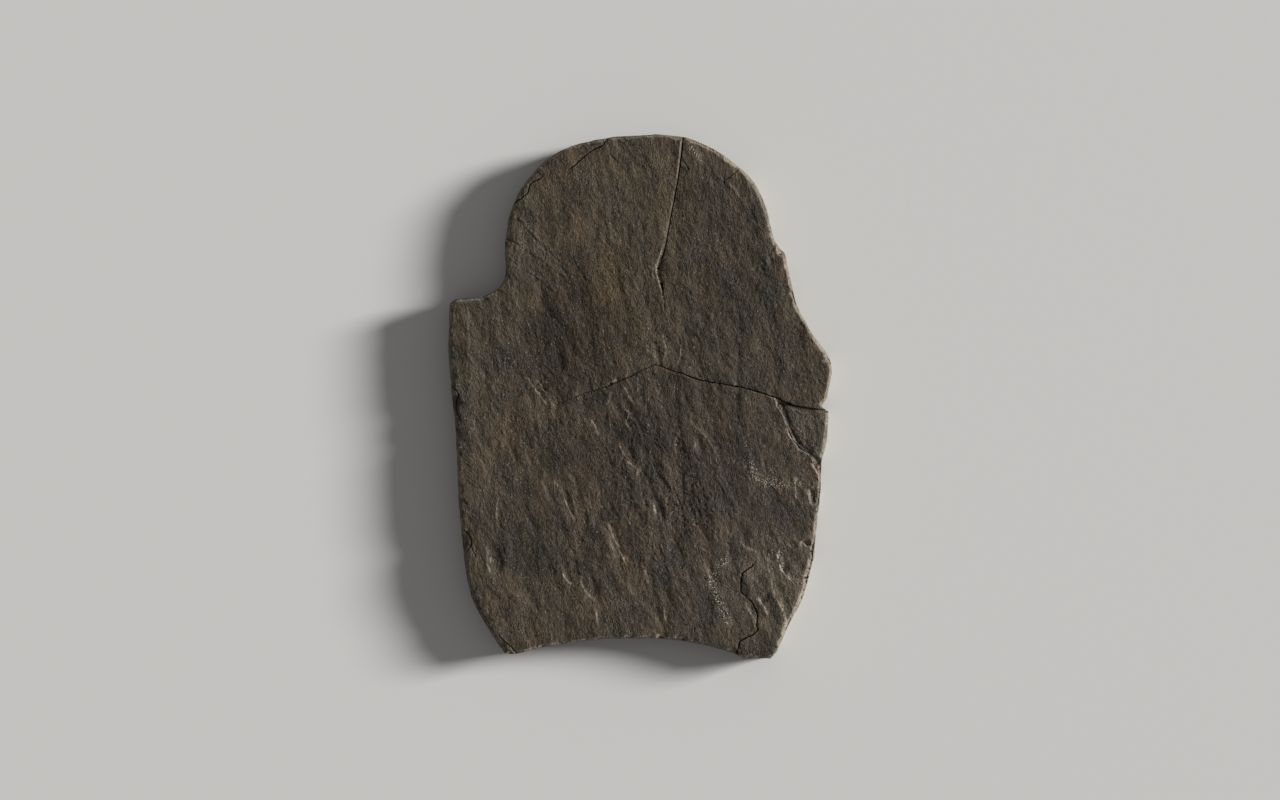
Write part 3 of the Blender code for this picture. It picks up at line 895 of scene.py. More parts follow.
class FaceLines:
    """The lines on the face, worked out once for every piece.

    Attributes:
        cracks: one line for each crack.
        steps: one for each step.
        pecks: one for each band of peck marks.
        chamfers: one for the sharp edge of each chamfer.
        joint: the line of the joint.
    """

    def __init__(self) -> None:
        """Runs a line through each route."""
        self.cracks = [Line(c.route, c.wander, seed=300 + n) for n, c in enumerate(CRACKS)]
        self.steps = [Line(s.route, 0.0009, seed=200 + n) for n, s in enumerate(STEPS)]
        self.pecks = [Line(p.route) for p in PECKS]
        self.chamfers = [Line(c.route, 0.0004, seed=400 + n) for n, c in enumerate(CHAMFERS)]
        self.joint = Line(JOINT.route, 0.0002, seed=450)


LINES = FaceLines()


@dataclass
class EdgeWear:
    """Wears and chips the arris round the face, and splits the side walls along their layers.

    Attributes:
        bevel: usual width of the worn slope along the edge, in metres.
        bevel_grain: usual length over which that width changes, in metres.
        slope: how far the worn slope falls for each metre.
        bite: reach of a chip from the edge, in metres.
        bite_depth: depth of a chip at the edge, in metres.
        bite_grain: usual length of a chip along the edge, in metres.
        nick_grain: usual length of the nicks in a chip's rim, in metres.
        layer: thickness of the layers in the side walls, in metres.
        layer_depth: how far the layers stand apart, in metres.
        rough_grain: size of the broader roughness of the side walls, in metres.
        rough_depth: depth of that roughness, in metres.
        back_depth: depth of the hollows of the back, in metres.
        seed: number that the random shapes are drawn from.
    """

    bevel: float = 0.0034
    bevel_grain: float = 0.0110
    slope: float = 0.52
    bite: float = 0.0095
    bite_depth: float = 0.0022
    bite_grain: float = 0.0140
    nick_grain: float = 0.006
    layer: float = 0.0048
    layer_depth: float = 0.00055
    rough_grain: float = 0.013
    rough_depth: float = 0.00070
    back_depth: float = 0.0011
    seed: int = 71

    def bevel_width(self, places: Array) -> Array:
        """Returns how wide the worn slope is beside each place, in metres."""
        noise = GrainNoise(self.seed + 3)
        return self.bevel * (0.25 + 1.15 * smooth_step(-0.7, 0.7, noise(places * [1, 1, 0.2] / self.bevel_grain)))

    def sheltered(self, places: Array) -> Array:
        """Works out where the joint of the two pieces has kept the edges from wear.

        Args:
            places: one row of x, y and z for each point, in metres.

        Returns:
            The share of the wear at each point.
        """
        share = np.ones(len(places))
        near = LINES.joint.nearby(places[:, :2], JOINT.shelter)
        share[near.index] = JOINT.wear + (1 - JOINT.wear) * smooth_step(0.6, 1.0, near.distance / JOINT.shelter)
        return share

    def chips(self, places: Array, edge: Array) -> Array:
        """Returns how deep the arris is worn and chipped at each place of the face.

        Args:
            places: one row of x, y and z for each point, in metres.
            edge: how far each is from the side walls, in metres.

        Returns:
            The depth at each point, in metres.
        """
        depth = self.slope * np.clip(self.bevel_width(places) - edge, 0, None)
        noise = GrainNoise(self.seed)
        spot = places * [1, 1, 0.2]
        bite = smooth_step(0.05, 0.55, noise(spot / self.bite_grain) + 0.35 * noise(spot / self.nick_grain + 9))
        reach = self.bite * (0.35 + 0.65 * bite)
        depth = depth + self.bite_depth * bite * np.clip(1 - edge / reach, 0, 1)
        return depth * self.sheltered(places)

    def wall(self, places: Array) -> Array:
        """Works out the layers and the roughness of the side walls.

        Args:
            places: one row of x, y and z for each point, in metres.

        Returns:
            How far each point stands out, in metres.
        """
        noise = GrainNoise(self.seed + 1)
        layers = noise(places / [0.050, 0.050, self.layer])
        layers = layers + 0.6 * noise(places / [0.022, 0.022, self.layer * 0.55] + 5)
        rough = noise(places / self.rough_grain + 11)
        return self.layer_depth * np.clip(layers, -1, 0.6) + self.rough_depth * rough

    def back(self, places: Array) -> Array:
        """Works out the shallow hollows of the back.

        Args:
            places: one row of x, y and z for each point, in metres.

        Returns:
            How far each point is hollowed, in metres, and never less than nothing.
        """
        noise = GrainNoise(self.seed + 2)
        broad = noise(places / [0.045, 0.090, 0.045]) + 0.5 * noise(places / [0.016, 0.034, 0.016])
        return self.back_depth * np.clip(broad + 0.15, 0, 1)


@dataclass
class Weathering:
    """Works out where the skin is freshly broken, where it gets painted highlight and painted shade, and where it is
    pecked and stained.

    Attributes:
        level: least and most upright share of a normal between which the skin becomes the face.
        crack_shade_width: how far from a crack's line its painted shade spreads, in widths of the crack.
        crack_shade_reach: least distance that it spreads, in metres.
        crack_shade_gain: how much painted shade a crack gets for its opening.
        joint_shade_gain: how much painted shade the joint gets for its darkness.
        peck_core: distance from a band's line up to which it is fully pecked, in widths of the band.
        peck_rim: distance at which the peck marks end, in widths of the band.
        tilt: least and most tilt of the face between which it looks freshly broken.
        tilted: how fresh the steepest places look.
        edge_soft: half the width over which the worn edge begins, in metres.
        arris: least and most share of the stele's height between which the worn edge begins.
        shaded: how fresh the worn edge looks where it faces away from the key light on the right.
        lit: rightward share of its normal at which it looks fully fresh; the rise towards it is painted highlight.
        sloped: how fresh a chamfer looks; the chamfers face the key light, so this is partly painted highlight.
        slope_soft: distance over which a chamfer's fresh look begins, in metres.
        joint_clear: share of the joint's ledge that has no fresh look at all.
        dull_reach: how far from a crack the stone looks less freshly broken, in metres.
        dull: share of the fresh look that is left there.
        step_width: half the width of a step's fresh front, which is partly painted highlight, in runs of the step.
        step_end: distance from its ends over which that front fades away, in metres.
        step_full: drop of a step whose front looks fully fresh, in metres.
        step_power: how much less fresh the lower steps look.
        patchy: share of the fresh look that comes and goes in small patches.
        patch_size: size of those patches, in metres.
        ragged_broad: how much the rim of each patch of stain and painted light and shade is bent by broad bends, and
            their size in metres.
        ragged_fine: the same for small bends.
        seed: number that the random patches are drawn from.
    """

    level: tuple[float, float] = (0.2, 0.7)
    crack_shade_width: float = 0.75
    crack_shade_reach: float = 0.0011
    crack_shade_gain: float = 1.2
    joint_shade_gain: float = 1.25
    peck_core: float = 0.25
    peck_rim: float = 0.62
    tilt: tuple[float, float] = (0.38, 0.62)
    tilted: float = 0.9
    edge_soft: float = 0.0008
    arris: tuple[float, float] = (0.55, 0.85)
    shaded: float = 0.15
    lit: float = 0.45
    sloped: float = 0.95
    slope_soft: float = 0.0008
    joint_clear: float = 0.55
    dull_reach: float = 0.0026
    dull: float = 0.25
    step_width: float = 1.7
    step_end: float = 0.004
    step_full: float = 0.0016
    step_power: float = 1.5
    patchy: float = 0.40
    patch_size: float = 0.006
    ragged_broad: tuple[float, float] = (0.35, 0.024)
    ragged_fine: tuple[float, float] = (0.20, 0.009)
    seed: int = 501

    def facing_up(self, normals: Array) -> Array:
        """Returns how far each point belongs to the face, from 0 to 1."""
        return smooth_step(*self.level, normals[:, 2])

    def painted_crack_shade(self, places: Array) -> Array:
        """Works out the painted shade in the cracks and in the joint.

        Args:
            places: one row of x, y and z for each point, in metres.

        Returns:
            How much painted shade each point gets, from 0 to a little over 1.
        """
        painted_crack_shade = np.zeros(len(places))
        for crack, line in zip(CRACKS, LINES.cracks):
            reach = max(crack.width * self.crack_shade_width, self.crack_shade_reach)
            near = line.nearby(places[:, :2], reach)
            opening = np.clip(line.opening_at(near.share) * self.crack_shade_gain, 0, 1)
            painted_crack_shade[near.index] = np.maximum(painted_crack_shade[near.index], (1 - (near.distance / reach) ** 2) * opening)
        near = LINES.joint.nearby(places[:, :2], JOINT.width)
        share = self.joint_shade_gain * LINES.joint.opening_at(near.share) * (1 - near.distance / JOINT.width)
        painted_crack_shade[near.index] = np.maximum(painted_crack_shade[near.index], share)
        return painted_crack_shade

    def pecked(self, places: Array) -> Array:
        """Works out the bands of peck marks.

        Args:
            places: one row of x, y and z for each point, in metres.

        Returns:
            How densely each point is pecked, from 0 to 1.
        """
        peck = np.zeros(len(places))
        for band, line in zip(PECKS, LINES.pecks):
            near = line.nearby(places[:, :2], band.width)
            share = 1 - smooth_step(self.peck_core * band.width, self.peck_rim * band.width, near.distance)
            peck[near.index] = np.maximum(peck[near.index], share)
        return peck

    def fresh_and_lit(self, places: Array, normals: Array, worn: Array, carving: FaceCarving) -> Array:
        """Works out where the stone looks freshly broken or worn clean, with a painted highlight where its edges,
        chamfers and step fronts face the key light.

        Args:
            places: one row of x, y and z for each point, in metres.
            normals: each point's outward direction.
            worn: how far each point lies on the worn edge, from 0 to 1.
            carving: how the face is carved.

        Returns:
            How fresh and lit each point looks, from 0 to 1.
        """
        flat = places[:, :2]
        tilt = np.linalg.norm(normals[:, :2], axis=1)
        fresh_and_lit = self.tilted * self.facing_up(normals) * smooth_step(*self.tilt, tilt)
        worn = worn * smooth_step(*self.arris, places[:, 2] / places[:, 2].max())
        # Painted highlight: the worn edge is lighter where it faces the key light on the right.
        facing = self.shaded + (1 - self.shaded) * smooth_step(0.0, self.lit, normals[:, 0])
        fresh_and_lit = np.maximum(fresh_and_lit, worn * facing)
        # The chamfers all face the key light; their fresh look is partly painted highlight.
        for chamfer, line in zip(CHAMFERS, LINES.chamfers):
            near = line.nearby(flat, chamfer.width * chamfer.past)
            share = self.sloped * line.away_from_ends(near, chamfer.end)
            share = share * smooth_step(0, self.slope_soft, near.distance * near.side)
            fresh_and_lit[near.index] = np.maximum(fresh_and_lit[near.index], share)
        near = LINES.joint.nearby(flat, JOINT.ledge)
        fresh_and_lit[near.index] *= smooth_step(self.joint_clear, 1.0, near.distance / JOINT.ledge)
        for line in LINES.cracks:
            fresh_and_lit[line.nearby(flat, self.dull_reach).index] *= self.dull
        # Step fronts mostly face the key light; their fresh look is partly painted highlight.
        for step, line in zip(STEPS, LINES.steps):
            reach = step.run * self.step_width
            near = line.nearby(flat, reach)
            share = (1 - (near.distance / reach) ** 2) * line.away_from_ends(near, self.step_end)
            strength = min(1.0, (step.drop / self.step_full) ** self.step_power) * carving.broken(step, near.foot)
            fresh_and_lit[near.index] = np.maximum(fresh_and_lit[near.index], np.clip(share * strength, 0, 1))
        patches = 0.5 + 0.5 * GrainNoise(self.seed)(places / self.patch_size)
        return fresh_and_lit * (1 - self.patchy + self.patchy * patches)

    def tint(self, places: Array, up: Array) -> Array:
        """Works out the stains of the face, and the painted light and painted shade on its broad slopes.

        Args:
            places: one row of x, y and z for each point, in metres.
            up: how far each point belongs to the face.

        Returns:
            What each point's red, green and blue are multiplied by.
        """
        tint = np.ones((len(places), 3))
        noise = GrainNoise(self.seed)
        ragged = 1.0
        for strength, size in (self.ragged_broad, self.ragged_fine):
            ragged = ragged + strength * noise(places / size)
        middles = PHOTO.place(tuple(stain_and_shade.middle for stain_and_shade in STAINS_AND_PAINTED_SHADE))
        for stain_and_shade, middle in zip(STAINS_AND_PAINTED_SHADE, middles):
            offset = np.stack(turned(places[:, :2] - middle, stain_and_shade.lean), 1)
            gap = offset / (np.array(stain_and_shade.reach) * PHOTO.metre())
            share = np.exp(-(gap**2).sum(1) * ragged**2) * up
            tint *= 1 + share[:, None] * (np.array(stain_and_shade.tint) - 1)
        return tint


class Bench:
    """Short names for what is done to a piece's mesh again and again."""

    @staticmethod
    def take(piece: bpy.types.Object) -> None:
        """Selects one piece alone and makes it the active one.

        Args:
            piece: the piece.
        """
        bpy.ops.object.select_all(action="DESELECT")
        piece.select_set(True)
        bpy.context.view_layer.objects.active = piece

    @staticmethod
    def apply(piece: bpy.types.Object, kind: str, **settings: object) -> None:
        """Adds a modifier and applies it.

        Args:
            piece: the piece that it changes.
            kind: the modifier's type.
            settings: its settings by name.
        """
        Bench.take(piece)
        change = piece.modifiers.new(kind.title(), kind)
        for name, value in settings.items():
            setattr(change, name, value)
        bpy.ops.object.modifier_apply(modifier=change.name)

    @staticmethod
    def places(piece: bpy.types.Object) -> Array:
        """Reads where the vertices are.

        Args:
            piece: the piece.

        Returns:
            One row of x, y and z for each vertex.
        """
        values = np.empty(len(piece.data.vertices) * 3)
        piece.data.vertices.foreach_get("co", values)
        return values.reshape(-1, 3)

    @staticmethod
    def normals(piece: bpy.types.Object) -> Array:
        """Reads which way the skin faces.

        Args:
            piece: the piece.

        Returns:
            Each vertex's outward direction.
        """
        values = np.empty(len(piece.data.vertices) * 3, np.float32)
        piece.data.vertex_normals.foreach_get("vector", values)
        return values.reshape(-1, 3).astype(float)

    @staticmethod
    def move(piece: bpy.types.Object, places: Array) -> None:
        """Puts the vertices at new places."""
        piece.data.vertices.foreach_set("co", places.ravel())
        piece.data.update()

    @staticmethod
    def edge_distance(places: Array, walls: Array, reach: float) -> Array:
        """Returns how far each place is from the side walls seen from above, up to a reach.

        Args:
            places: one row of x, y and z for each point.
            walls: which of the points stand on the side walls.
            reach: distance past which the answer is the reach itself.

        Returns:
            One distance for each point, in metres.
        """
        found = np.flatnonzero(walls)
        tree = kdtree.KDTree(len(found))
        for index in found:
            tree.insert((places[index, 0], places[index, 1], 0), index)
        tree.balance()
        distance = np.full(len(places), reach)
        cells = np.floor(places[:, :2] / reach).astype(int)
        beside = {(x + i, y + j) for x, y in set(map(tuple, cells[walls])) for i in (-1, 0, 1) for j in (-1, 0, 1)}
        row = 10000
        near = np.isin(cells[:, 0] * row + cells[:, 1], [x * row + y for x, y in beside])
        for index in np.flatnonzero(near & ~walls):
            distance[index] = min(reach, tree.find((places[index, 0], places[index, 1], 0))[2])
        distance[walls] = 0
        return distance


@dataclass
class StonePiece:
    """One of the stele's solids, made into a fine carved skin.

    Attributes:
        node: the solid that it stands for.
        slot: the record's slot of its finish; not used.
        name: the piece's name.
        cell: size of the skin's cells before thinning, in metres.
        face_share: share of the face's triangles that are kept.
        wall_share: share of the side walls' triangles that are kept.
        back_share: share of the back's triangles that are kept.
        carving: how its face is carved.
        wear: how its edges and walls are worn.
        weather: how it is stained and freshly broken, and where it gets painted highlight and painted shade.
        weld: distance within which the solid's corners are joined, in metres.
        touch: distance within which two points of the finished skin are one, in metres.
        steep: upright share of a normal below which a point stands on a side wall.
        level: upright share of a normal above which a point lies on the plain of the face or the back.
        rounding: least and most upright share of a normal between which a wall becomes the face or the back.
        edge_reach: how far from the walls the edge wear may reach, in metres.
        arris: width along the edges that is left as sharp as it is, in metres.
        wall_fall: least and most share of the height between which the walls' tops sink with the worn edge.
        headroom: height over which the face's highest places are pressed down, in metres.
        press: share of what stands over that height that is pressed away.
        ceiling: height that no place is over, in metres.
        catch: distance from a crack's line within which points sink to its floor, in cells.
        spread: distance from it within which points move to make room, in cells.
        gape: the most that an opening deepens a crack.
        rim_fall: how far a crack's rims are sunk, in metres.
        crack_margin: how far from a crack no triangle is taken out, in metres.
        crease: angle from which two faces meet in a crease, in degrees.
    """

    node: Node
    slot: Slot
    name: str
    cell: float
    face_share: float
    wall_share: float
    back_share: float
    carving: FaceCarving = field(default_factory=FaceCarving)
    wear: EdgeWear = field(default_factory=EdgeWear)
    weather: Weathering = field(default_factory=Weathering)
    weld: float = 0.00002
    touch: float = 0.000001
    steep: float = 0.5
    level: float = 0.965
    rounding: tuple[float, float] = (0.35, 0.85)
    edge_reach: float = 0.015
    arris: float = 0.0065
    wall_fall: tuple[float, float] = (0.5, 1.0)
    headroom: float = 0.0480
    press: float = 0.7
    ceiling: float = 0.0488
    catch: float = 0.55
    spread: float = 2.4
    gape: float = 1.3
    rim_fall: float = 0.00020
    crack_margin: float = 0.0035
    crease: float = 30.0

    def square_up(self) -> bpy.types.Object:
        """Copies the solid and gives the copy straight walls and a plain flat face.

        Returns:
            The copy.
        """
        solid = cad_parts[self.node.value]
        piece = solid.copy()
        piece.data = solid.data.copy()
        piece.name = self.name
        piece.data.name = self.name
        for key in list(piece.keys()):
            del piece[key]
        bpy.context.scene.collection.objects.link(piece)
        piece.parent = None
        heights = Bench.places(piece)[:, 2]
        top = float(np.median(heights[heights > 0.75 * heights.max()]))
        middle = top / 2
        Bench.take(piece)
        bpy.ops.object.mode_set(mode="EDIT")
        bpy.ops.mesh.select_all(action="SELECT")
        bpy.ops.mesh.remove_doubles(threshold=self.weld)
        bpy.ops.mesh.select_all(action="SELECT")
        bpy.ops.mesh.bisect(plane_co=(0, 0, middle), plane_no=(0, 0, 1), use_fill=True, clear_outer=True)
        bpy.ops.mesh.extrude_region_move(TRANSFORM_OT_translate={"value": (0, 0, top - middle)})
        bpy.ops.object.mode_set(mode="OBJECT")
        return piece

    def skin(self, piece: bpy.types.Object) -> None:
        """Gives the copy small even cells and lays them back on the solid, across its cracks.

        Args:
            piece: the squared copy.
        """
        Bench.apply(piece, "REMESH", mode="VOXEL", voxel_size=self.cell)
        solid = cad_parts[self.node.value]
        Bench.apply(piece, "SHRINKWRAP", wrap_method="NEAREST_SURFACEPOINT", target=solid)
        plain = piece.vertex_groups.new(name="level")
        places, heights = Bench.places(piece), np.abs(Bench.normals(piece)[:, 2])
        edge = Bench.edge_distance(places, heights < self.steep, self.edge_reach)
        plain.add(np.flatnonzero((heights > self.level) & (edge > self.arris)).tolist(), 1.0, "REPLACE")
        Bench.apply(piece, "SMOOTH", factor=0.5, iterations=6, vertex_group=plain.name)
        piece.vertex_groups.clear()

    def carve(self, piece: bpy.types.Object) -> None:
        """Carves the face, the arris, the side walls and the back.

        Args:
            piece: the even skin.
        """
        places = Bench.places(piece)
        normals = Bench.normals(piece)
        up = smooth_step(*self.rounding, normals[:, 2])
        down = smooth_step(*self.rounding, -normals[:, 2])
        side = 1 - up - down
        edge = Bench.edge_distance(places, side > 0.5, self.edge_reach)
        out = normals * [1, 1, 0]
        out /= np.maximum(np.linalg.norm(out, axis=1, keepdims=True), 0.2)
        carving = self.carving
        lift = carving.grain(places) + carving.steps(places) + carving.hollows(places)
        fall = np.maximum(self.wear.chips(places, edge), -carving.chamfers(places))
        stand = self.wear.wall(places) * self.wear.sheltered(places)
        moved = places + out * (side * stand)[:, None]
        moved[:, 2] += up * (lift - fall) + down * self.wear.back(places)
        moved[:, 2] -= side * fall * smooth_step(*self.wall_fall, places[:, 2] / places[:, 2].max())
        over = np.clip(moved[:, 2] - self.headroom, 0, None)
        moved[:, 2] = np.maximum(moved[:, 2] - self.press * over, 0)
        Bench.move(piece, moved)

    def open_cracks(self, piece: bpy.types.Object) -> None:
        """Draws the vertices beside each crack to its rims, and sinks the ones on its line.

        Args:
            piece: the carved skin.
        """
        places = Bench.places(piece)
        top = (Bench.normals(piece)[:, 2] > 0.1) & (places[:, 2] > places[:, 2].max() * 0.6)
        floor = np.zeros(len(places), bool)
        catch = self.catch * self.cell
        spread = self.spread * self.cell
        for crack, line in zip(CRACKS, LINES.cracks):
            near = line.nearby(places[:, :2], spread)
            seen = top[near.index]
            index, distance, foot = near.index[seen], near.distance[seen], near.foot[seen]
            opening = line.opening_at(near.share[seen])
            half = crack.width / 2 * opening
            sunk = distance < catch
            way = places[index, :2] - foot
            way /= np.maximum(np.linalg.norm(way, axis=1, keepdims=True), 1e-9)
            pushed = half + (distance - catch) * (spread - half) / (spread - catch)
            places[index, :2] = np.where(sunk[:, None], foot, foot + way * pushed[:, None])
            places[index[sunk], 2] -= crack.depth * np.clip(opening[sunk], 0, self.gape)
            rim = ~sunk
            places[index[rim], 2] -= self.rim_fall * opening[rim] * np.exp(-(distance[rim] - catch) / self.cell)
            floor[index[sunk]] = True
        Bench.move(piece, places)
        skin = bmesh.new()
        skin.from_mesh(piece.data)
        skin.verts.ensure_lookup_table()
        bmesh.ops.connect_verts(skin, verts=[skin.verts[index] for index in np.flatnonzero(floor)])
        skin.to_mesh(piece.data)
        skin.free()

    def thin(self, piece: bpy.types.Object) -> None:
        """Takes triangles out where the skin is even, most of them from the back, and joins points that touch.

        Args:
            piece: the skin with its cracks.
        """
        Bench.take(piece)
        bpy.ops.object.mode_set(mode="EDIT")
        bpy.ops.mesh.select_mode(type="FACE")
        bpy.ops.mesh.select_all(action="SELECT")
        bpy.ops.mesh.quads_convert_to_tris(quad_method="SHORTEST_DIAGONAL")
        bpy.ops.object.mode_set(mode="OBJECT")
        past = 1.1
        for low, high, share in (
            (-past, -self.steep, self.back_share),
            (-self.steep, self.steep, self.wall_share),
            (self.steep, past, self.face_share),
        ):
            if share >= 1:
                continue
            values = np.empty(len(piece.data.polygons) * 3)
            piece.data.polygons.foreach_get("normal", values)
            heights = values.reshape(-1, 3)[:, 2]
            chosen = (heights >= low) & (heights < high)
            piece.data.polygons.foreach_get("center", values)
            for line in LINES.cracks:
                chosen[line.nearby(values.reshape(-1, 3)[:, :2], self.crack_margin).index] = False
            piece.data.vertices.foreach_set("select", np.zeros(len(piece.data.vertices), bool))
            piece.data.edges.foreach_set("select", np.zeros(len(piece.data.edges), bool))
            piece.data.polygons.foreach_set("select", chosen)
            bpy.ops.object.mode_set(mode="EDIT")
            bpy.ops.mesh.decimate(ratio=share)
            bpy.ops.object.mode_set(mode="OBJECT")
        places = Bench.places(piece)
        places[:, 2] = np.clip(places[:, 2], 0, self.ceiling)
        Bench.move(piece, places)
        bpy.ops.object.mode_set(mode="EDIT")
        bpy.ops.mesh.select_all(action="SELECT")
        bpy.ops.mesh.remove_doubles(threshold=self.touch)
        bpy.ops.object.mode_set(mode="OBJECT")

    def mark(self, piece: bpy.types.Object) -> None:
        """Writes what is worn, stained and pecked into the skin, with its painted highlights and painted shade, for
        its finish to read.

        Args:
            piece: the thinned skin.
        """
        places, normals = Bench.places(piece), Bench.normals(piece)
        edge = Bench.edge_distance(places, np.abs(normals[:, 2]) < self.steep, self.edge_reach)
        soft = self.weather.edge_soft
        worn = smooth_step(-soft, soft, self.wear.bevel_width(places) - edge) * self.wear.sheltered(places)
        up = self.weather.facing_up(normals)
        # The marks: fresh breaks with painted highlight, painted shade in the cracks and the joint, and peck marks.
        for name, values in (
            ("fresh_and_lit", self.weather.fresh_and_lit(places, normals, worn, self.carving)),
            ("painted_crack_shade", self.weather.painted_crack_shade(places)),
            ("peck", self.weather.pecked(places) * up),
        ):
            layer = piece.data.attributes.new(name, "FLOAT", "POINT")
            layer.data.foreach_set("value", values)
        layer = piece.data.attributes.new("tint", "FLOAT_COLOR", "POINT")
        tint = self.weather.tint(places, up)
        layer.data.foreach_set("color", np.concatenate([tint, np.ones((len(tint), 1))], 1).ravel())

    def dress(self, piece: bpy.types.Object, finish: SchistFinish) -> None:
        """Gives the skin its finish and shades it smoothly.

        Args:
            piece: the finished skin.
            finish: the look of the stone.
        """
        piece.data.materials.clear()
        piece.data.materials.append(finish.material())
        Bench.take(piece)
        bpy.ops.object.shade_smooth_by_angle(angle=math.radians(self.crease))

    def build(self, finish: SchistFinish) -> bpy.types.Object:
        """Makes the whole piece and puts it in the place of its solid.

        Args:
            finish: the look of the stone.

        Returns:
            The finished piece.
        """
        piece = self.square_up()
        self.skin(piece)
        self.carve(piece)
        self.open_cracks(piece)
        self.thin(piece)
        self.mark(piece)
        self.dress(piece, finish)
        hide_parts(self.node.value)
        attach(piece, "root")
        LOG.info("%s: %d triangles", self.name, sum(len(face.vertices) - 2 for face in piece.data.polygons))
        return piece


@dataclass
class Slab(StonePiece):
    """The main slab, with the same attributes as any stone piece."""

    node: Node = Node.SLAB
    slot: Slot = Slot.SCHIST
    name: str = "carved_slab"
    cell: float = 0.00140
    face_share: float = 0.47
    wall_share: float = 0.25
    back_share: float = 0.03


@dataclass
class Fragment(StonePiece):
    """The piece that broke off the right shoulder, with the same attributes as any stone piece."""

    node: Node = Node.FRAGMENT
    slot: Slot = Slot.BROKEN
    name: str = "carved_fragment"
    cell: float = 0.0010
    face_share: float = 0.8
    wall_share: float = 0.4
    back_share: float = 0.06


class Run(Enum):
    """The way in which a pattern of the finish runs."""

    PLAIN = "straight along the grain, as wide as it is long"
    BENT = "bent a little"
    GRAIN = "bent and drawn out along the grain"
    CROSSED = "bent and drawn out at an angle to the grain"


@dataclass(frozen=True)
class Pattern:
    """One random pattern of the finish.

    Attributes:
        run: the way it runs.
        scale: how many of its features there are in a metre.
        detail: how many finer patterns are laid over it.
        shade: how much it changes the stone's brightness.
        relief: height of its bumps, in metres.
        warmth: how much it moves the stone's colour from grey to brown.
    """

    run: Run
    scale: float
    detail: float
    shade: float = 0.0
    relief: float = 0.0
    warmth: float = 0.0


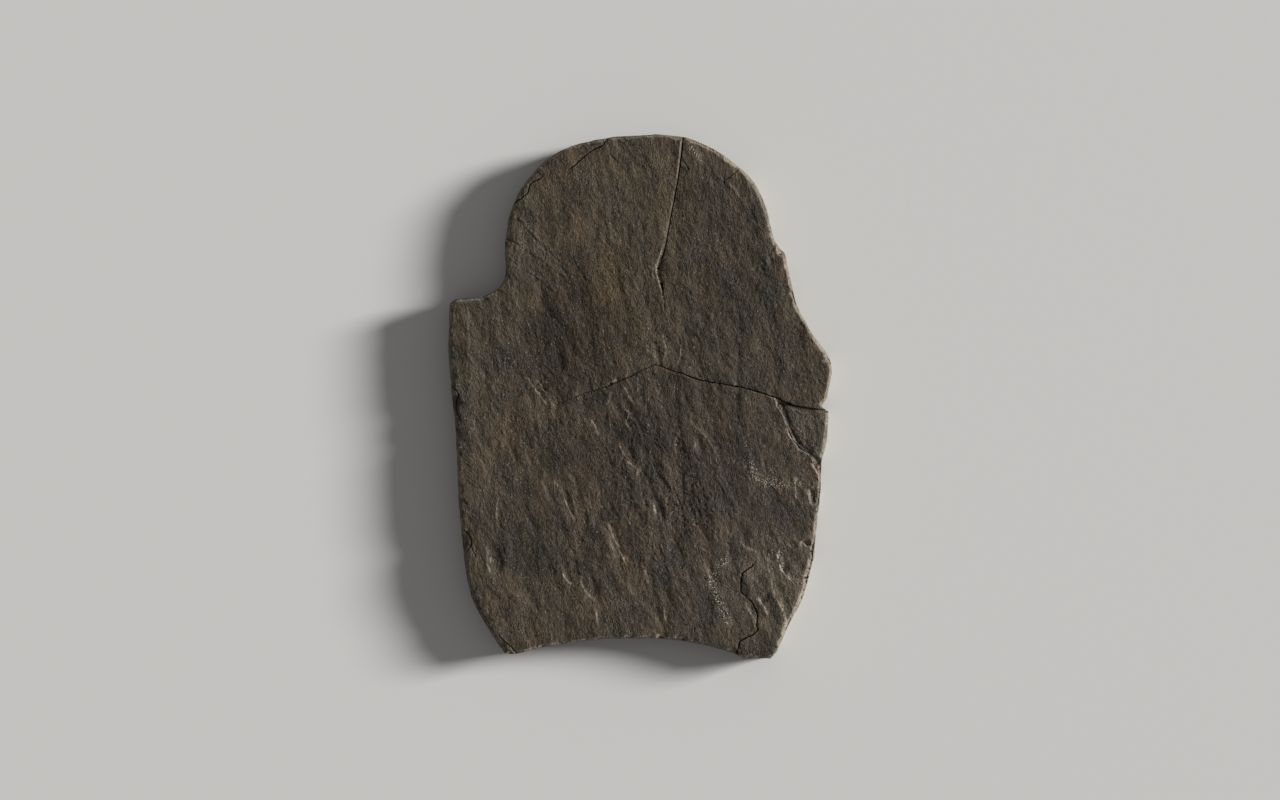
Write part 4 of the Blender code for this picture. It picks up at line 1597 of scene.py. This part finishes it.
@dataclass(frozen=True)
class SchistFinish:
    """The look of the stone.

    Attributes:
        name: the material's name.
        grey: colour of its greyer patches.
        brown: colour of its browner patches.
        rust: colour of its small rusty patches.
        broken: colour of fresh breaks and worn arrises, which is also the painted highlight on edges that face the
            key light.
        crack_shade_colour: colour of the painted shade in its cracks and in the joint.
        pecked: colour of its peck marks.
        mica_glint: colour of the flecks of mica, painted bright as glints.
        roughness: its mean roughness.
        roughness_swing: how far the roughness goes to either side of that.
        specular: strength of its reflections.
        lean: turn of the grain, in degrees.
        stretch: width of the grain as a share of its length.
        crossing: angle at which a second, fainter grain crosses the first, in degrees.
        coarse: its broader patterns; the third of them also carries the rust and the last the roughness.
        grit: its finer patterns, which are stronger on some ground than on other.
        grit_patch: the pattern of that ground.
        grit_range: how strong the finer patterns are at the least and at the most.
        ridge: the pattern of its fine ridges.
        flake: the pattern of the thin layers that broke off over one another.
        flake_levels: how many of those layers there are.
        rust_limits: values of its pattern between which the rust begins.
        rust_share: how much the rust covers at the most.
        mica_glint_scale: how many painted glints of mica there may be in a metre.
        mica_glint_patch: the pattern that leaves most of the glints out.
        mica_glint_limits: values of that pattern between which the glints begin.
        mica_glint_share: how much a glint covers the stone's colour.
        peck_scale: how many peck marks there may be in a metre.
        peck_patch: the pattern that leaves some of them out.
        peck_limits: values of that pattern between which they begin.
        crack_shade_limits: painted shade at which the shade colour begins, and at which it covers the stone.
    """

    name: str
    grey: tuple[float, float, float] = (0.0570, 0.0450, 0.0308)
    brown: tuple[float, float, float] = (0.0640, 0.0455, 0.0250)
    rust: tuple[float, float, float] = (0.0850, 0.0545, 0.0300)
    broken: tuple[float, float, float] = (0.230, 0.1930, 0.1420)
    crack_shade_colour: tuple[float, float, float] = (0.020, 0.0155, 0.0110)
    pecked: tuple[float, float, float] = (0.700, 0.6200, 0.4700)
    mica_glint: tuple[float, float, float] = (0.260, 0.2300, 0.1800)
    roughness: float = 0.64
    roughness_swing: float = 0.10
    specular: float = 0.35
    lean: float = 15.0
    stretch: float = 0.48
    crossing: float = 22.0
    coarse: tuple[Pattern, ...] = (
        Pattern(Run.PLAIN, 13.0, 2.0, shade=0.20, warmth=1.0),
        Pattern(Run.BENT, 27.0, 2.0, shade=1.10, warmth=0.8),
        Pattern(Run.GRAIN, 46.0, 3.0, shade=1.20, warmth=1.0),
        Pattern(Run.GRAIN, 130.0, 4.0, shade=0.70, relief=0.0011),
    )
    grit: tuple[Pattern, ...] = (
        Pattern(Run.CROSSED, 215.0, 3.0, shade=0.55, relief=0.0008),
        Pattern(Run.GRAIN, 370.0, 3.0, shade=1.25, relief=0.00100),
        Pattern(Run.CROSSED, 590.0, 2.0, shade=2.15, relief=0.00090),
        Pattern(Run.PLAIN, 860.0, 2.0, shade=2.60, relief=0.00060),
    )
    grit_patch: Pattern = Pattern(Run.PLAIN, 21.0, 1.0)
    grit_range: tuple[float, float] = (0.1, 1.9)
    ridge: Pattern = Pattern(Run.GRAIN, 75.0, 3.0, relief=0.00050)
    flake: Pattern = Pattern(Run.GRAIN, 60.0, 3.0, shade=0.12, relief=0.0017, warmth=0.3)
    flake_levels: float = 13.0
    rust_limits: tuple[float, float] = (0.54, 0.74)
    rust_share: float = 0.5
    mica_glint_scale: float = 300.0
    mica_glint_patch: Pattern = Pattern(Run.PLAIN, 260.0, 0.0)
    mica_glint_limits: tuple[float, float] = (0.64, 0.74)
    mica_glint_share: float = 0.7
    peck_scale: float = 560.0
    peck_patch: Pattern = Pattern(Run.PLAIN, 240.0, 1.0)
    peck_limits: tuple[float, float] = (0.40, 0.52)
    crack_shade_limits: tuple[float, float] = (0.05, 0.75)

    def ways(self, board: NodeBoard) -> dict[Run, bpy.types.NodeSocket]:
        """Makes the coordinates that the patterns run on.

        Args:
            board: the board of the stone's nodes.

        Returns:
            The coordinates of each way of running.
        """
        plain = board.turned(self.lean)
        bent = board.bent(board.bent(plain, 40.0, 0.0050), 200.0, 0.0006)
        crossed = board.bent(board.bent(board.turned(self.lean - self.crossing), 52.0, 0.0030), 260.0, 0.0006)
        return {
            Run.PLAIN: plain,
            Run.BENT: bent,
            Run.GRAIN: board.stretched(bent, self.stretch),
            Run.CROSSED: board.stretched(crossed, self.stretch),
        }

    def material(self) -> bpy.types.Material:
        """Builds the stone's nodes.

        Returns:
            The material.
        """
        stone = bpy.data.materials.new(self.name)
        stone.use_nodes = True
        board = NodeBoard(stone.node_tree)
        ways = self.ways(board)
        plain = ways[Run.PLAIN]
        patches = (self.grit_patch, self.mica_glint_patch, self.peck_patch)
        drawn = {
            pattern: board.noise(ways[pattern.run], pattern.scale, pattern.detail)
            for pattern in (*self.coarse, *self.grit, *patches, self.ridge, self.flake)
        }
        layers, layer = board.flakes(drawn[self.flake], self.flake_levels)
        shift = board.drawn(layer)
        strength = board.ranged(drawn[self.grit_patch], *self.grit_range)
        _, _, drift, streak = (drawn[pattern] for pattern in self.coarse)

        shades = [(drawn[pattern], pattern.shade) for pattern in self.coarse]
        shade = board.weigh([*shades, (shift, self.flake.shade)])
        grit = board.weigh([(drawn[pattern], pattern.shade) for pattern in self.grit], middle=0.0)
        shade = board.math("ADD", shade, board.product(grit, strength))
        warmths = [(drawn[pattern], pattern.warmth) for pattern in self.coarse if pattern.warmth]
        warmth = board.weigh([*warmths, (shift, self.flake.warmth)], middle=0.5)

        tone = board.mix(board.spread(warmth, 0.0, 1.0), self.grey, self.brown)
        tone = board.mix(board.product(board.spread(drift, *self.rust_limits), self.rust_share), tone, self.rust)
        # Fresh breaks, with a painted highlight on the edges, chamfers and step fronts that face the key light.
        tone = board.mix(board.attribute("fresh_and_lit"), tone, self.broken)
        # Stains, with painted light and painted shade on the broad slopes.
        tone = board.multiply(board.scale(tone, shade), board.attribute("tint", "Color"))
        # Painted glints: flecks of mica made bright.
        mica_glints = board.spread(drawn[self.mica_glint_patch], *self.mica_glint_limits)
        mica_glints = board.product(board.dots(plain, self.mica_glint_scale), mica_glints)
        tone = board.mix(board.product(mica_glints, self.mica_glint_share), tone, self.mica_glint)
        pecks = board.spread(drawn[self.peck_patch], *self.peck_limits)
        pecks = board.product(board.dots(plain, self.peck_scale), pecks)
        tone = board.mix(board.product(pecks, board.attribute("peck")), tone, self.pecked)
        # Painted shade: the cracks and the joint are darkened.
        tone = board.mix(board.spread(board.attribute("painted_crack_shade"), *self.crack_shade_limits), tone, self.crack_shade_colour)

        swing = (self.roughness - self.roughness_swing, self.roughness + self.roughness_swing)
        reliefs = [(layers, self.flake.relief), (board.ridged(drawn[self.ridge]), self.ridge.relief)]
        reliefs += [(drawn[pattern], pattern.relief) for pattern in self.coarse if pattern.relief]
        height = board.weigh(reliefs, middle=0.0)
        grit = board.weigh([(drawn[pattern], pattern.relief) for pattern in self.grit], middle=0.0)
        height = board.math("ADD", height, board.product(grit, strength))
        board.join(tone, board.shader.inputs["Base Color"])
        board.join(board.ranged(streak, *swing), board.shader.inputs["Roughness"])
        board.shader.inputs["Specular IOR Level"].default_value = self.specular
        board.join(board.bump(height), board.shader.inputs["Normal"])
        return stone


class NodeBoard:
    """Places shader nodes and joins them.

    Attributes:
        tree: the material's nodes.
        shader: its shader.
        coordinates: the object's own coordinates.
    """

    def __init__(self, tree: bpy.types.NodeTree) -> None:
        """Starts with the tree's own shader.

        Args:
            tree: the material's nodes.
        """
        self.tree = tree
        self.shader = tree.nodes["Principled BSDF"]
        self.coordinates = tree.nodes.new("ShaderNodeTexCoord").outputs["Object"]

    def join(self, output: bpy.types.NodeSocket, target: bpy.types.NodeSocket) -> None:
        """Joins an output to an input."""
        self.tree.links.new(output, target)

    def place(
        self, kind: str, inputs: dict[str | int, object], output: str | int = 0, **settings: str
    ) -> bpy.types.NodeSocket:
        """Places a node, joins it up and sets it.

        Args:
            kind: the node's kind.
            inputs: a socket or a value for each input, by its name or number.
            output: name or number of the output that is wanted.
            settings: the node's settings by name.

        Returns:
            The output.
        """
        node = self.tree.nodes.new(f"ShaderNode{kind}")
        for name, value in settings.items():
            setattr(node, name, value)
        for name, value in inputs.items():
            if isinstance(value, bpy.types.NodeSocket):
                self.join(value, node.inputs[name])
            else:
                node.inputs[name].default_value = value
        return node.outputs[output]

    def turned(self, degrees: float) -> bpy.types.NodeSocket:
        """Returns the object's coordinates turned so that Y runs along the grain."""
        return self.place("Mapping", {"Vector": self.coordinates, "Rotation": (0, 0, math.radians(-degrees))})

    def stretched(self, vector: bpy.types.NodeSocket, share: float) -> bpy.types.NodeSocket:
        """Returns coordinates on which a pattern is drawn out along the grain."""
        return self.place("Mapping", {"Vector": vector, "Scale": (1, share, 1)})

    def noise(self, vector: bpy.types.NodeSocket, scale: float, detail: float) -> bpy.types.NodeSocket:
        """Returns a noise of a scale in features per metre."""
        return self.place("TexNoise", {"Vector": vector, "Scale": scale, "Detail": detail, "Roughness": 0.55}, "Fac")

    def dots(self, vector: bpy.types.NodeSocket, scale: float) -> bpy.types.NodeSocket:
        """Returns small round dots, 1 in their middles and 0 between them."""
        return self.spread(self.place("TexVoronoi", {"Vector": vector, "Scale": scale}, "Distance"), 0.42, 0.22)

    def attribute(self, name: str, output: str = "Fac") -> bpy.types.NodeSocket:
        """Returns a value that is written in the skin."""
        return self.place("Attribute", {}, output, attribute_name=name)

    def math(self, operation: str, first: object, second: object) -> bpy.types.NodeSocket:
        """Returns the result of a sum on two values, each a socket or a number."""
        return self.place("Math", {0: first, 1: second}, operation=operation)

    def product(self, first: object, second: object) -> bpy.types.NodeSocket:
        """Returns one value times another, each a socket or a number."""
        return self.math("MULTIPLY", first, second)

    def weigh(self, parts: list[tuple[object, float]], middle: float = 1.0) -> bpy.types.NodeSocket:
        """Adds up noises by weight about a middle value.

        Args:
            parts: each noise with its weight.
            middle: the sum where every noise is at its mean of a half.

        Returns:
            The sum.
        """
        total: object = middle - 0.5 * sum(weight for _, weight in parts)
        for noise, weight in parts:
            total = self.math("ADD", self.product(noise, weight), total)
        return total

    def ranged(self, value: object, low: float, high: float) -> bpy.types.NodeSocket:
        """Returns a value of 0 to 1 spread between two numbers."""
        return self.place("MapRange", {"Value": value, "To Min": low, "To Max": high}, "Result")

    def spread(self, value: object, low: float, high: float) -> bpy.types.NodeSocket:
        """Returns 0 at low, 1 at high and an eased share between."""
        limits = {"Value": value, "From Min": low, "From Max": high}
        return self.place("MapRange", limits, "Result", interpolation_type="SMOOTHSTEP")

    def blend(self, kind: str, share: object, first: object, second: object) -> bpy.types.NodeSocket:
        """Blends two colours, each a socket or a red, green and blue.

        Args:
            kind: how they are blended.
            share: how much of the second is used.
            first: the colour below.
            second: the colour above.

        Returns:
            The blended colour.
        """
        first, second = ((*value, 1) if isinstance(value, tuple) else value for value in (first, second))
        return self.place("Mix", {0: share, 6: first, 7: second}, 2, data_type="RGBA", blend_type=kind)

    def mix(self, share: object, first: object, second: object) -> bpy.types.NodeSocket:
        """Returns the first colour with a share of the second over it."""
        return self.blend("MIX", share, first, second)

    def multiply(self, first: object, second: object) -> bpy.types.NodeSocket:
        """Returns one colour times another."""
        return self.blend("MULTIPLY", 1.0, first, second)

    def scale(self, colour: object, value: object) -> bpy.types.NodeSocket:
        """Returns a colour made lighter or darker by a value."""
        return self.place("VectorMath", {0: colour, "Scale": value}, operation="SCALE")

    def bent(self, vector: bpy.types.NodeSocket, scale: float, reach: float) -> bpy.types.NodeSocket:
        """Bends a pattern's coordinates so that its lines wander.

        Args:
            vector: the coordinates.
            scale: how many bends there are in a metre.
            reach: how far they wander, in metres.

        Returns:
            The bent coordinates.
        """
        noise = self.place("TexNoise", {"Vector": vector, "Scale": scale, "Detail": 1.0}, "Color")
        centred = {0: noise, 1: (4 * reach,) * 3, 2: (-2 * reach,) * 3}
        shift = self.place("VectorMath", centred, operation="MULTIPLY_ADD")
        return self.place("VectorMath", {0: vector, 1: shift}, operation="ADD")

    def flakes(self, noise: bpy.types.NodeSocket, levels: float) -> tuple[bpy.types.NodeSocket, bpy.types.NodeSocket]:
        """Makes thin layers that broke off over one another.

        Args:
            noise: the pattern that they follow.
            levels: how many layers there are.

        Returns:
            The height, from 0 to 1, and the number of the layer that shows.
        """
        level = self.product(noise, levels)
        number = self.math("FLOOR", level, 0.0)
        rise = self.spread(self.math("FRACT", level, 0.0), 0.72, 1.0)
        return self.product(self.math("ADD", number, rise), 1 / levels), number

    def ridged(self, noise: bpy.types.NodeSocket) -> bpy.types.NodeSocket:
        """Returns sharp ridges along the middle values of a noise."""
        away = self.math("ABSOLUTE", self.math("SUBTRACT", noise, 0.5), 0.0)
        return self.math("SUBTRACT", 1.0, self.product(away, 4.0))

    def drawn(self, number: bpy.types.NodeSocket) -> bpy.types.NodeSocket:
        """Returns a random value of 0 to 1 for each whole number."""
        return self.place("TexWhiteNoise", {"W": number}, "Value", noise_dimensions="1D")

    def bump(self, height: object) -> bpy.types.NodeSocket:
        """Returns a surface direction that follows a fine relief in metres."""
        return self.place("Bump", {"Strength": 1.0, "Distance": 1.0, "Height": height}, "Normal")


@dataclass
class Studio:
    """The floor, the lights and the camera.

    Attributes:
        floor_size: side of the floor, in metres.
        floor_tone: how pale the floor is.
        key_height: how high the key light stands over the floor, in degrees.
        key_turn: where it stands, in degrees from the right towards the stele's top.
        key_power: its strength.
        key_softness: its width, in degrees.
        fill: strength of the even light from all round.
        camera_height: height of the camera over the floor, in metres.
        far: distance past which the camera sees nothing, in metres.
        face_level: height of the stele's face over the floor, in metres.
        frame_pixels: width of the photograph in its pixels.
        middle: the photograph's middle, in its pixels.
        sensor: width of the camera's sensor, in millimetres.
    """

    floor_size: float = 14.0
    floor_tone: tuple[float, float, float] = (0.80, 0.79, 0.77)
    key_height: float = 19.0
    key_turn: float = 14.0
    key_power: float = 4.9
    key_softness: float = 14.0
    fill: float = 0.17
    camera_height: float = 4.0
    far: float = 100.0
    face_level: float = 0.0465
    frame_pixels: float = 1280.0
    middle: tuple[float, float] = (640.0, 400.0)
    sensor: float = 36.0

    def lay_floor(self) -> None:
        """Lays a plain pale floor under the stele."""
        bpy.ops.object.select_all(action="DESELECT")
        bpy.ops.mesh.primitive_plane_add(size=self.floor_size, location=(0, 0, 0))
        floor = bpy.context.object
        floor.name = "floor"
        paint = bpy.data.materials.new("pale_floor")
        paint.use_nodes = True
        shader = paint.node_tree.nodes["Principled BSDF"]
        shader.inputs["Base Color"].default_value = (*self.floor_tone, 1)
        shader.inputs["Roughness"].default_value = 0.9
        floor.data.materials.append(paint)

    def set_lights(self) -> None:
        """Sets a low soft key light on the right and an even fill."""
        height, turn = math.radians(self.key_height), math.radians(self.key_turn)
        towards = Vector((math.cos(height) * math.cos(turn), math.cos(height) * math.sin(turn), math.sin(height)))
        bpy.ops.object.light_add(type="SUN", rotation=towards.to_track_quat("Z", "Y").to_euler())
        key = bpy.context.object
        key.name = "key_light"
        key.data.energy = self.key_power
        key.data.angle = math.radians(self.key_softness)
        world = bpy.data.worlds.new("even_fill")
        world.use_nodes = True
        world.node_tree.nodes["Background"].inputs["Color"].default_value = (1, 1, 1, 1)
        world.node_tree.nodes["Background"].inputs["Strength"].default_value = self.fill
        bpy.context.scene.world = world
        bpy.context.scene.view_settings.view_transform = "Standard"

    def place_camera(self) -> None:
        """Hangs the camera straight over the stele, framed as the photograph is."""
        x, y = PHOTO.place((self.middle,))[0]
        bpy.ops.object.camera_add(location=(x, y, self.camera_height), rotation=(0, 0, 0))
        camera = bpy.context.object
        camera.name = "photo_camera"
        camera.data.sensor_width = self.sensor
        width = self.frame_pixels * PHOTO.metre()
        camera.data.lens = self.sensor * (self.camera_height - self.face_level) / width
        camera.data.clip_end = self.far
        bpy.context.scene.camera = camera

    def build(self) -> None:
        """Makes the whole studio."""
        self.lay_floor()
        self.set_lights()
        self.place_camera()
        LOG.info("studio: floor, key light, fill and camera")


def main() -> None:
    """Builds the stele's two pieces and the studio."""
    logging.basicConfig(level=logging.INFO, format="%(name)s: %(message)s")
    finish = SchistFinish("schist")
    broken = SchistFinish("broken_schist", grey=(0.0765, 0.0635, 0.0475), brown=(0.0840, 0.0655, 0.0440))
    Slab().build(finish)
    Fragment().build(broken)
    Studio().build()


if __name__ == "__main__":
    main()
